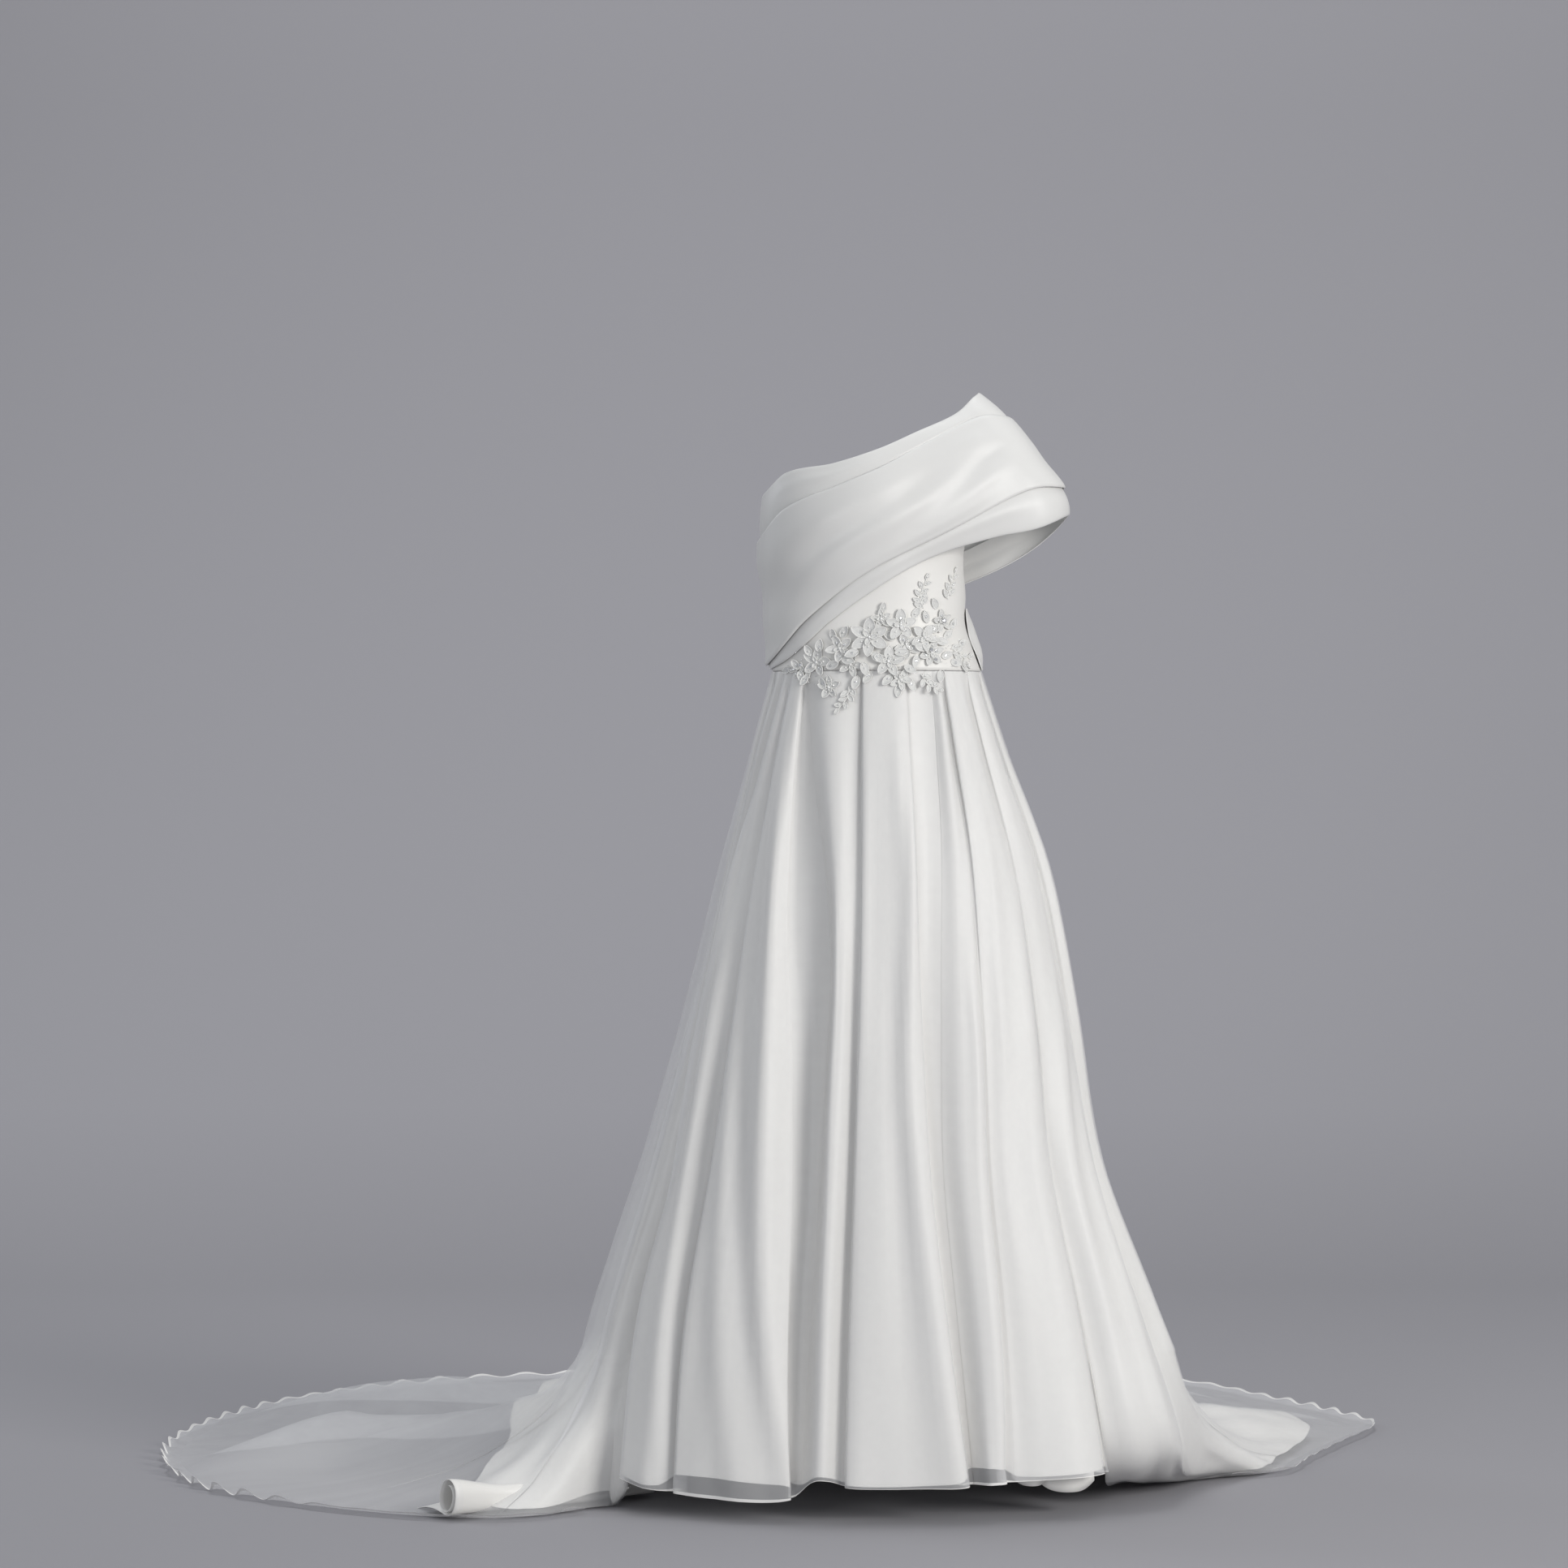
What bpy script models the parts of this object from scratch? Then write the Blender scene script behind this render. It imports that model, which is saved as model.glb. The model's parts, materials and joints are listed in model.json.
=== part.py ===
"""One-shoulder wedding dress with a draped satin bodice, lace flowers at the waist and a train.

Metres, +Z up. The origin is the middle of the waist, where the wearer holds the dress up. The wearer
faces -Y, so +X is on the right of someone who looks at the front. Each cut piece is an open sheet,
lofted from rings or sections, with a Solidify modifier for the thickness of its cloth.
"""

import bisect
import math
from collections import namedtuple

import bmesh
import bpy
from mathutils import Vector

WAIST_HEIGHT = 1.10
FLOOR = -WAIST_HEIGHT
SATIN_WALL = 0.0012
ORGANZA_WALL = 0.0010
BODICE_WALL = 0.0015
DRAPE_WALL = 0.0015
LACE_WALL = 0.0012
SEAM_GAP = 0.0003


def smooth(keys, values, at):
    """The value at a place along a table, on a cubic through its rows."""
    if at <= keys[0]:
        return values[0]
    if at >= keys[-1]:
        return values[-1]
    i = bisect.bisect_right(keys, at) - 1
    low, high = max(i - 1, 0), min(i + 2, len(keys) - 1)
    span = keys[i + 1] - keys[i]
    start = (values[i + 1] - values[low]) / (keys[i + 1] - keys[low]) * span
    end = (values[high] - values[i]) / (keys[high] - keys[i]) * span
    t = (at - keys[i]) / span
    rise = values[i + 1] - values[i]
    return values[i] + t * (start + t * ((3 * rise - 2 * start - end) + t * (start + end - 2 * rise)))


def column(rows, key, name, at):
    """The same for one named column of a table of named tuples, whose rows run up their key."""
    return smooth([getattr(row, key) for row in rows], [getattr(row, name) for row in rows], at)


def mix(start, end, part):
    return start + (end - start) * part


# Materials and the maker of each sheet

FINISHES = {
    "satin": ((0.86, 0.86, 0.84, 1.0), 0.36),
    "organza": ((0.83, 0.83, 0.83, 1.0), 0.55),
    "lace": ((0.88, 0.87, 0.84, 1.0), 0.6),
    "zip": ((0.80, 0.80, 0.78, 1.0), 0.5),
}


def finish(node, cloth):
    material = bpy.data.materials.new(node + "_finish")
    material.use_nodes = True
    shader = material.node_tree.nodes["Principled BSDF"]
    colour, roughness = FINISHES[cloth]
    shader.inputs["Base Color"].default_value = colour
    shader.inputs["Roughness"].default_value = roughness
    shader.inputs["Metallic"].default_value = 0.0
    return material


def sheet(node, rows, wall, cloth, side=-1):
    """One piece of cloth from rows of points, from its top edge down and left to right seen from outside."""
    mesh = bpy.data.meshes.new(node)
    build = bmesh.new()
    grid = [[build.verts.new(point) for point in row] for row in rows]
    for above, below in zip(grid, grid[1:]):
        for j in range(len(above) - 1):
            build.faces.new((above[j], below[j], below[j + 1]))
            build.faces.new((above[j], below[j + 1], above[j + 1]))
    build.to_mesh(mesh)
    build.free()
    return thicken(node, mesh, wall, cloth, side)


def thicken(node, mesh, wall, cloth, side):
    mesh.shade_smooth()
    mesh.materials.append(finish(node, cloth))
    piece = bpy.data.objects.new(node, mesh)
    dress.objects.link(piece)
    solid = piece.modifiers.new("thickness of the cloth", "SOLIDIFY")
    solid.thickness = wall
    solid.offset = side
    return piece


def moved_out(rows, distance):
    """The points of a sheet, moved along their normals, for a layer that lies on it."""
    moved = []
    for i, row in enumerate(rows):
        up = rows[max(i - 1, 0)]
        down = rows[min(i + 1, len(rows) - 1)]
        line = []
        for j, point in enumerate(row):
            across = row[min(j + 1, len(row) - 1)] - row[max(j - 1, 0)]
            normal = (down[j] - up[j]).cross(across)
            line.append(point + normal.normalized() * distance)
        moved.append(line)
    return moved


def trimmed(rows):
    """A sheet whose sides stop short of the seams to its neighbours."""
    for row in rows:
        first = row[0] + (row[1] - row[0]).normalized() * SEAM_GAP
        row[-1] = row[-1] + (row[-2] - row[-1]).normalized() * SEAM_GAP
        row[0] = first
    return rows


# Skirt: the outline of its rings, from the waist down

Ring = namedtuple("Ring", "drop left right front back")
SKIRT_RINGS = (
    Ring(0.00, 0.1392, 0.1392, 0.1036, 0.0982),
    Ring(0.10, 0.1650, 0.1720, 0.126, 0.132),
    Ring(0.25, 0.1990, 0.2220, 0.154, 0.185),
    Ring(0.45, 0.2480, 0.2630, 0.188, 0.268),
    Ring(0.65, 0.3060, 0.2970, 0.218, 0.360),
    Ring(0.85, 0.3740, 0.3730, 0.242, 0.455),
    Ring(1.05, 0.4250, 0.4550, 0.262, 0.560),
)

# Folds: each runs from the waist to the hem between its left and right edge, as angles round the body
# from the middle of the front, at these drops below the waist, with the depth that it sinks there.
FOLD_DROPS = (0.0, 0.30, 0.60, 1.05)
Fold = namedtuple("Fold", "name left right depth")
FOLDS = (
    Fold("left_front_edge", (-64, -73, -68, -56), (-61, -70, -65, -53), (0.002, 0.010, 0.022, 0.034)),
    Fold("left_groove", (-55, -56, -50, -41), (-53, -53, -47, -39), (0.001, 0.007, 0.022, 0.030)),
    Fold("left_pleat", (-45, -36, -24, -16), (-42, -19, -15, -14), (0.002, 0.020, 0.034, 0.034)),
    Fold("centre_pleat", (-10, -9, -8, -8), (-8, -6, -6, -6), (0.002, 0.010, 0.020, 0.028)),
    Fold("right_pleat", (15, 12, 12.5, 14.5), (31, 21, 17.5, 16), (0.002, 0.013, 0.030, 0.038)),
    Fold("right_groove", (37, 31, 29, 21), (39, 33, 31, 23), (0.002, 0.007, 0.014, 0.020)),
    Fold("right_front_edge", (56, 53, 51, 41), (59, 55, 53, 43), (0.002, 0.009, 0.018, 0.028)),
    Fold("right_side", (74, 76, 74, 66), (77, 79, 77, 68), (0.002, 0.009, 0.016, 0.024)),
    Fold("right_hip", (93, 96, 96, 92), (96, 99, 99, 95), (0.002, 0.010, 0.018, 0.026)),
    Fold("right_back", (112, 118, 119, 117), (115, 121, 122, 120), (0.002, 0.012, 0.022, 0.030)),
    Fold("right_train", (134, 138, 138, 138), (137, 141, 142, 142), (0.002, 0.010, 0.020, 0.032)),
    Fold("right_middle", (156, 158, 159, 159), (159, 161, 162, 162), (0.002, 0.012, 0.024, 0.034)),
    Fold("middle_back", (179, 179, 179, 179), (182, 182, 182, 182), (0.002, 0.010, 0.020, 0.030)),
    Fold("left_middle", (201, 199, 199, 199), (204, 202, 202, 202), (0.002, 0.012, 0.022, 0.034)),
    Fold("left_train", (223, 220, 220, 220), (226, 223, 224, 224), (0.002, 0.010, 0.022, 0.030)),
    Fold("left_back", (245, 242, 241, 243), (248, 245, 244, 246), (0.002, 0.012, 0.020, 0.030)),
    Fold("left_hip", (266, 263, 262, 264), (269, 266, 265, 267), (0.002, 0.010, 0.018, 0.026)),
    Fold("left_side", (283, 277, 280, 285), (286, 279, 282, 287), (0.002, 0.008, 0.014, 0.022)),
)
FRONT_FLUTES = 6
FRONT_STEPS = (0.0, 0.10, 0.32, 0.68, 0.90, 1.0)
BACK_STEPS = (0.0, 0.24, 0.76, 1.0)
UPPER_DROPS = (SEAM_GAP, 0.05, 0.13, 0.25, 0.40, 0.57, 0.75)
FRONT_LOWEST_DROP = 0.92
TRAIN_START_DROP = 0.90
SATIN_SHORTER = 0.025
ORGANZA_OUT = 0.0016
ORGANZA_FLATTER = 0.80
ORGANZA_LOWEST = 0.0022

# Height of the organza hem above the floor along the front, by angle.
HEM_ANGLES = (-56, -45, -28, -16, -11, -6, 10, 20, 43)
HEM_HEIGHTS = (0.050, 0.036, 0.028, 0.030, 0.056, 0.047, 0.046, 0.050, 0.056)


def outline(angle, drop):
    """A point of the skirt's ring at an angle in degrees, and the way out of it."""
    turn = math.radians(angle)
    wide = column(SKIRT_RINGS, "drop", "right" if math.sin(turn) > 0 else "left", drop)
    deep = column(SKIRT_RINGS, "drop", "front" if math.cos(turn) > 0 else "back", drop)
    point = Vector((wide * math.sin(turn), -deep * math.cos(turn), -drop))
    out = Vector((math.sin(turn) / wide, -math.cos(turn) / deep, 0.0)).normalized()
    return point, out


def flute_columns(first, last, drop):
    """(angle, depth below the ring) of each column, from one fold's right edge to another's right edge."""
    columns = []
    for number in range(first, last):
        here, after = FOLDS[number % len(FOLDS)], FOLDS[(number + 1) % len(FOLDS)]
        turn = 360.0 * ((number + 1) // len(FOLDS))
        start = smooth(FOLD_DROPS, here.right, drop) + 360.0 * (number // len(FOLDS))
        end = smooth(FOLD_DROPS, after.left, drop) + turn
        depths = (smooth(FOLD_DROPS, here.depth, drop), smooth(FOLD_DROPS, after.depth, drop))
        for step in FRONT_STEPS if number % len(FOLDS) < FRONT_FLUTES else BACK_STEPS:
            crown = math.sqrt(max(0.0, 1.0 - abs(2.0 * step - 1.0) ** 2.4))
            columns.append((mix(start, end, step), mix(*depths, step) * (1.0 - crown)))
        last_edge = smooth(FOLD_DROPS, after.right, drop) + turn
    columns.append((last_edge, depths[1]))
    return columns


def skirt_row(first, last, drop, sink):
    row = []
    for angle, depth in flute_columns(first, last, drop):
        point, out = outline(angle, drop)
        row.append(point - out * depth * sink)
    return row


# Train: where its edge lies on the floor, by the angle that its cloth leaves the skirt

Edge = namedtuple("Edge", "angle x y satin_share")
TRAIN_EDGE = (
    Edge(43, 0.305, 0.120, 0.90),
    Edge(56, 0.385, 0.140, 0.90),
    Edge(70, 0.480, 0.168, 0.90),
    Edge(84, 0.565, 0.215, 0.88),
    Edge(96, 0.605, 0.320, 0.86),
    Edge(108, 0.668, 0.470, 0.84),
    Edge(120, 0.735, 0.640, 0.78),
    Edge(131, 0.700, 0.760, 0.74),
    Edge(142, 0.610, 0.930, 0.70),
    Edge(154, 0.490, 1.120, 0.66),
    Edge(167, 0.270, 1.230, 0.62),
    Edge(180, -0.020, 1.270, 0.58),
    Edge(194, -0.400, 1.220, 0.52),
    Edge(205, -0.680, 1.110, 0.46),
    Edge(215, -0.855, 0.930, 0.42),
    Edge(224, -0.955, 0.710, 0.38),
    Edge(233, -1.000, 0.480, 0.36),
    Edge(242, -0.985, 0.260, 0.34),
    Edge(251, -0.925, 0.070, 0.34),
    Edge(260, -0.820, -0.065, 0.34),
    Edge(269, -0.695, -0.165, 0.36),
    Edge(279, -0.575, -0.222, 0.40),
    Edge(290, -0.470, -0.215, 0.46),
    Edge(299, -0.385, -0.115, 0.60),
    Edge(307, -0.325, -0.010, 0.70),
)

# Soft ridges that the train keeps where it lies, from one point of the floor to another.
Ridge = namedtuple("Ridge", "x1 y1 x2 y2 height width")
TRAIN_RIDGES = (
    Ridge(-0.93, 0.20, -0.74, 0.27, 0.040, 0.09),
    Ridge(-0.74, 0.27, -0.50, 0.17, 0.036, 0.09),
    Ridge(-0.86, 0.72, -0.62, 0.66, 0.040, 0.12),
    Ridge(-0.62, 0.66, -0.40, 0.56, 0.034, 0.10),
    Ridge(-0.36, 0.95, -0.18, 0.70, 0.032, 0.10),
    Ridge(0.16, 1.02, 0.12, 0.72, 0.030, 0.10),
    Ridge(0.44, 0.86, 0.36, 0.58, 0.030, 0.09),
    Ridge(0.62, 0.62, 0.50, 0.42, 0.028, 0.07),
)
KNEE_FALL = 8.5
TRAIN_SATIN_STEPS = (0.16, 0.36, 0.64, 1.0)
TRAIN_BEYOND_STEPS = (0.35, 0.70, 1.0)
HEM_STRIP = 0.024


def ridge_height(x, y):
    height = 0.0
    for ridge in TRAIN_RIDGES:
        start = Vector((ridge.x1, ridge.y1))
        run = Vector((ridge.x2, ridge.y2)) - start
        place = Vector((x, y))
        part = max(0.0, min(1.0, (place - start).dot(run) / run.length_squared))
        away = (place - start - run * part).length
        height = max(height, ridge.height * math.exp(-((away / ridge.width) ** 2)))
    return height


def train_reach(angle):
    """Where the train's edge lies for the cloth at an angle, and the satin's share of the way there."""
    turn = angle % 360.0
    edge = Vector([column(TRAIN_EDGE, "angle", axis, turn) for axis in "xy"])
    return edge, column(TRAIN_EDGE, "angle", "satin_share", turn)


def train_column(angle, depth, sink, beyond):
    """Points of one column from the skirt's knee to the edge of the train."""
    start, out = outline(angle, TRAIN_START_DROP)
    edge, share = train_reach(angle)
    whole = edge - start.xy
    length = whole.length
    edge = edge - whole * (HEM_STRIP / length)
    run = edge - start.xy
    above = WAIST_HEIGHT - TRAIN_START_DROP
    steps = [share * step for step in TRAIN_SATIN_STEPS]
    if beyond:
        steps += [mix(share, 1.0, step) for step in TRAIN_BEYOND_STEPS]
    points = []
    for step in steps:
        fall = math.exp(-KNEE_FALL * length * step)
        last = math.exp(-KNEE_FALL * length)
        height = above * (fall - last) / (1.0 - last)
        place = start.xy + run * step
        lift = ridge_height(place.x, place.y) * min(1.0, 4.0 * step * (1.0 - step) + 0.05)
        place = place - out.xy * depth * sink * max(0.0, 1.0 - 2.2 * step)
        z = FLOOR + SATIN_WALL + height + lift
        if step > share:
            z -= 0.0012
        points.append(Vector((place.x, place.y, z)))
    return points


def train_rows(first, last, sink, beyond):
    columns = flute_columns(first, last, TRAIN_START_DROP)
    return [list(row) for row in zip(*(train_column(*at, sink, beyond) for at in columns))]


def front_hem_rows(first, last, sink, beyond):
    """The lowest rows of a front gore: the satin's hem, then the organza's, a little lower."""
    rows = []
    lowest = flute_columns(first, last, FOLD_DROPS[-1])
    for shorter in (SATIN_SHORTER, 0.0)[: 2 if beyond else 1]:
        row = []
        for angle, depth in lowest:
            drop = WAIST_HEIGHT - smooth(HEM_ANGLES, HEM_HEIGHTS, angle) - shorter
            point, out = outline(angle, drop)
            row.append(point - out * depth * sink)
        rows.append(row)
    return rows


def gore_rows(first, last, trained, sink, beyond):
    rows = [skirt_row(first, last, drop, sink) for drop in UPPER_DROPS]
    if trained:
        rows.append(skirt_row(first, last, TRAIN_START_DROP, sink))
        return rows + train_rows(first, last, sink, beyond)
    rows.append(skirt_row(first, last, FRONT_LOWEST_DROP, sink))
    return rows + front_hem_rows(first, last, sink, beyond)


# Gores of the skirt, from the fold where each begins to the fold where it ends, and the columns of its
# edge that carry the ruffled hem.
Gore = namedtuple("Gore", "name first last trained hem")
GORES = (
    Gore("side_front_left", 0, 2, False, None),
    Gore("front", 2, 4, False, None),
    Gore("side_front_right", 4, 6, False, None),
    Gore("side_right", 6, 9, True, slice(8, None)),
    Gore("back_right", 9, 12, True, slice(None)),
    Gore("back_left", 12, 15, True, slice(None)),
    Gore("side_left", 15, 18, True, slice(9)),
)


def overlay_rows(gore):
    """The organza over one gore, moved out along the normals that it shares with its neighbours."""
    before, after = (len(flute_columns(at, at + 1, 0.0)) - 1 for at in (gore.first - 1, gore.last))
    rows = gore_rows(gore.first - 1, gore.last + 1, gore.trained, ORGANZA_FLATTER, True)
    moved = moved_out(rows, ORGANZA_OUT)
    for point in moved[-1] + moved[-2]:
        point.z = max(point.z, FLOOR + ORGANZA_LOWEST)
    return [row[before:-after] for row in moved]


def skirt():
    edges = []
    for gore in GORES:
        fold_span = (gore.first, gore.last, gore.trained)
        satin = gore_rows(*fold_span, 1.0, False)
        sheet("satin_" + gore.name, trimmed(satin), SATIN_WALL, "satin")
        organza = overlay_rows(gore)
        sheet("organza_" + gore.name, trimmed(organza), ORGANZA_WALL, "organza")
        if gore.trained:
            edges.append((gore.name, organza[-1][gore.hem]))
    return edges


# Narrow hem of the train, which ruffles where the cloth was eased into it

RUFFLE_PARTS = 3


def train_hems(edges):
    for name, edge in edges:
        inner, outer = [], []
        for k in range((len(edge) - 1) * RUFFLE_PARTS + 1):
            i = min(k // RUFFLE_PARTS, len(edge) - 2)
            point = edge[i].lerp(edge[i + 1], k / RUFFLE_PARTS - i)
            low, high = max(i - 1, 0), min(i + 2, len(edge) - 1)
            course = edge[high].xy - edge[low].xy
            away = Vector((course.y, -course.x)).normalized()
            wave = math.sin(k * math.pi * 0.62) * (0.6 + 0.4 * math.sin(k * 0.37))
            rise = ORGANZA_WALL + 0.0055 * (1.0 + wave)
            inner.append(Vector((*(point.xy + away * SEAM_GAP), point.z)))
            outer.append(Vector((*(point.xy + away * (HEM_STRIP + 0.005 * wave)), FLOOR + rise)))
        sheet("hem_" + name, trimmed([inner, outer]), ORGANZA_WALL, "organza")


# Bodice: the outline of the torso, from the waist up

Torso = namedtuple("Torso", "rise middle wide front back")
TORSO_RINGS = (
    Torso(0.000, 0.0000, 0.1400, 0.1040, 0.0990),
    Torso(0.030, -0.0040, 0.1330, 0.1000, 0.0950),
    Torso(0.065, -0.0100, 0.1285, 0.0980, 0.0920),
    Torso(0.102, -0.0100, 0.1290, 0.1000, 0.0920),
    Torso(0.146, -0.0160, 0.1320, 0.1080, 0.0950),
    Torso(0.195, -0.0150, 0.1350, 0.1140, 0.0990),
    Torso(0.240, -0.0140, 0.1350, 0.1090, 0.1030),
    Torso(0.290, -0.0080, 0.1420, 0.0930, 0.1020),
    Torso(0.330, 0.0000, 0.1420, 0.0700, 0.0860),
    Torso(0.373, 0.0100, 0.1150, 0.0250, 0.0350),
)
BODICE_ANGLES = tuple(range(-90, 91, 10))
TOP_ANGLES = (-90, -55, -20, 0, 20, 50, 90)
FRONT_TOP = (0.205, 0.232, 0.226, 0.215, 0.222, 0.222, 0.172)
BACK_TOP = (0.172, 0.165, 0.160, 0.160, 0.165, 0.180, 0.205)
BODICE_STEPS = (0.0, 0.26, 0.50, 0.66, 0.80, 0.91, 1.0)
BODICE_BOTTOM = 0.0007


def torso_at(rise):
    return Torso(rise, *(column(TORSO_RINGS, "rise", name, rise) for name in Torso._fields[1:]))


def torso_point(angle, rise, out=0.0):
    ring = torso_at(rise)
    turn = math.radians(angle)
    deep = ring.front if math.cos(turn) > 0 else ring.back
    x = ring.middle + (ring.wide + out) * math.sin(turn)
    return Vector((x, -(deep + out) * math.cos(turn), rise))


def bodice():
    middle = len(BODICE_ANGLES) // 2
    for name, facing, tops, angles in (
        ("front", 0, FRONT_TOP, BODICE_ANGLES),
        ("back_right", 180, BACK_TOP, BODICE_ANGLES[: middle + 1]),
        ("back_left", 180, BACK_TOP, BODICE_ANGLES[middle:]),
    ):
        rows = []
        for step in BODICE_STEPS:
            rises = [mix(smooth(TOP_ANGLES, tops, angle), BODICE_BOTTOM, step) for angle in angles]
            rows.append([torso_point(facing + angle, rise) for angle, rise in zip(angles, rises)])
        sheet("bodice_" + name, trimmed(rows), BODICE_WALL, "satin")


# Closed zip behind the middle back seam, its two tapes and teeth as one narrow strip

ZIP_HALF_WIDTH = 0.007
ZIP_TOP = 0.155
ZIP_INSIDE = BODICE_WALL + 0.0012


def back_zip():
    rows = []
    for step in BODICE_STEPS:
        rise = mix(ZIP_TOP, BODICE_BOTTOM, step)
        line = []
        for share in (-1.0, 0.0, 1.0):
            angle = 180.0 + math.degrees(share * ZIP_HALF_WIDTH / torso_at(rise).wide)
            line.append(torso_point(angle, rise, -ZIP_INSIDE))
        rows.append(line)
    sheet("back_zip", rows, 0.001, "zip")


# Drape: bands of folded satin round the torso and over one shoulder and upper arm

# Outline of the sleeve at the drape's right end: its outermost X, and its radius, by height.
Sleeve = namedtuple("Sleeve", "rise outer radius")
SLEEVE_RINGS = (
    Sleeve(0.060, 0.128, 0.040),
    Sleeve(0.100, 0.160, 0.052),
    Sleeve(0.146, 0.216, 0.060),
    Sleeve(0.175, 0.242, 0.064),
    Sleeve(0.209, 0.254, 0.066),
    Sleeve(0.245, 0.243, 0.064),
    Sleeve(0.282, 0.2115, 0.060),
    Sleeve(0.307, 0.194, 0.055),
    Sleeve(0.340, 0.169, 0.044),
    Sleeve(0.373, 0.134, 0.022),
)
HULL_STEPS = 40


def hull(rise, out, facing):
    """Points of the tight line round torso and sleeve at a height, from left to right, on one side."""
    ring = torso_at(rise)
    deep = (ring.front if facing < 0 else ring.back) + out
    outer = column(SLEEVE_RINGS, "rise", "outer", rise) + out
    radius = column(SLEEVE_RINGS, "rise", "radius", rise) + out
    points = []
    for k in range(HULL_STEPS + 1):
        turn = math.pi * k / HULL_STEPS
        points.append((ring.middle - (ring.wide + out) * math.cos(turn), deep * math.sin(turn)))
        points.append((outer - radius - radius * math.cos(turn), radius * math.sin(turn)))
    tight = []
    for point in sorted(points):
        while len(tight) > 1 and cross(tight[-2], tight[-1], point) >= 0:
            tight.pop()
        tight.append(point)
    return tight


def cross(a, b, c):
    return (b[0] - a[0]) * (c[1] - a[1]) - (b[1] - a[1]) * (c[0] - a[0])


def depth_on(tight, x):
    """How far out the line is at X, from the plane through the sides."""
    for (x1, y1), (x2, y2) in zip(tight, tight[1:]):
        if x1 <= x <= x2 and x2 > x1:
            return mix(y1, y2, (x - x1) / (x2 - x1))
    return 0.0


# Height of each fold line above the waist, by its share of the way from the left side to the sleeve.
LINE_SHARES = (0.0, 0.08, 0.25, 0.42, 0.60, 0.77, 0.90, 1.0)
Line = namedtuple("Line", "front back")
LINES = {
    "top": Line(
        (0.236, 0.262, 0.273, 0.2915, 0.317, 0.340, 0.361, 0.3725),
        (0.236, 0.246, 0.262, 0.282, 0.306, 0.332, 0.357, 0.3725),
    ),
    "upper": Line(
        (0.174, 0.214, 0.243, 0.269, 0.300, 0.3265, 0.340, 0.3400),
        (0.174, 0.194, 0.220, 0.245, 0.272, 0.302, 0.326, 0.3400),
    ),
    "lower": Line(
        (0.008, 0.036, 0.088, 0.137, 0.181, 0.2215, 0.242, 0.2450),
        (0.008, 0.026, 0.058, 0.092, 0.128, 0.168, 0.210, 0.2450),
    ),
    "bottom": Line(
        (0.003, 0.016, 0.056, 0.100, 0.150, 0.176, 0.1885, 0.2085),
        (0.003, 0.012, 0.030, 0.056, 0.082, 0.112, 0.148, 0.2085),
    ),
}
DRAPE_COLUMNS = 18
Band = namedtuple("Band", "name above below over under out edge bulge steps")
BANDS = (
    Band("top", "top", "upper", 0.0, 0.012, 0.0040, 0.0040, 0.0020, 4),
    Band("main", "upper", "lower", 0.0, 0.0, 0.0084, 0.0074, 0.0030, 5),
    Band("lower", "lower", "bottom", 0.014, 0.0, 0.0040, 0.0031, 0.0010, 3),
)


def band_point(band, facing, share, down):
    """A point of one band, by its share of the way across the body and of the way down the band."""
    lines = [LINES[band.above], LINES[band.below]]
    heights = [line.front if facing < 0 else line.back for line in lines]

    def height(place):
        top = smooth(LINE_SHARES, heights[0], place) + band.over
        low = smooth(LINE_SHARES, heights[1], place) - band.under
        return mix(top, low, down)

    rise = height(share)
    left = hull(height(0.0), band.out, facing)[0][0]
    right = hull(height(1.0), band.out, facing)[-1][0]
    x = mix(left, right, share)
    out = mix(band.out, band.edge, max(0.0, 2.0 * down - 1.0) ** 2) + band.bulge * math.sin(math.pi * down)
    side = depth_on(hull(rise, out, facing), x)
    return Vector((x, facing * max(side, SEAM_GAP), rise))


def drape():
    shares = [(1.0 - math.cos(math.pi * k / DRAPE_COLUMNS)) / 2.0 for k in range(DRAPE_COLUMNS + 1)]
    for side, facing, order in (("front", -1, shares), ("back", 1, shares[::-1])):
        for band in BANDS:
            downs = [step / band.steps for step in range(band.steps + 1)]
            rows = [[band_point(band, facing, share, down) for share in order] for down in downs]
            sheet("drape_{}_{}".format(side, band.name), rows, DRAPE_WALL, "satin")


# Folded sash under the back drape's lower edge, from the right side seam to the left of the back

SASH_ANGLES = (92, 98, *range(105, 211, 15))
SASH_BELOW_DRAPE = 0.008
SASH_STEPS = (0.0, 0.3, 0.65, 1.0)


def back_sash():
    left, right = hull(0.0, 0.0, 1)[0][0], hull(LINES["bottom"].back[-1], 0.0, 1)[-1][0]
    rows = []
    for step in SASH_STEPS:
        line = []
        for angle in SASH_ANGLES:
            share = (torso_point(angle, 0.05).x - left) / (right - left)
            top = smooth(LINE_SHARES, LINES["bottom"].back, share) - SASH_BELOW_DRAPE
            rise = mix(max(top, 0.012), 0.002, step)
            along = (angle - SASH_ANGLES[0]) / (SASH_ANGLES[-1] - SASH_ANGLES[0])
            full = 0.0018 + 0.011 * math.sin(math.pi * step) * math.exp(-3.0 * along)
            line.append(torso_point(angle, rise, BODICE_WALL + full))
        rows.append(line)
    sheet("back_sash", rows, DRAPE_WALL, "satin")


# Lace flowers and leaf sprigs, cut from thick lace and sewn over the waist

LACE_OUT = 0.0008
LACE_SEAT = 0.0007
SEAM_STEP = 0.0008


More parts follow.
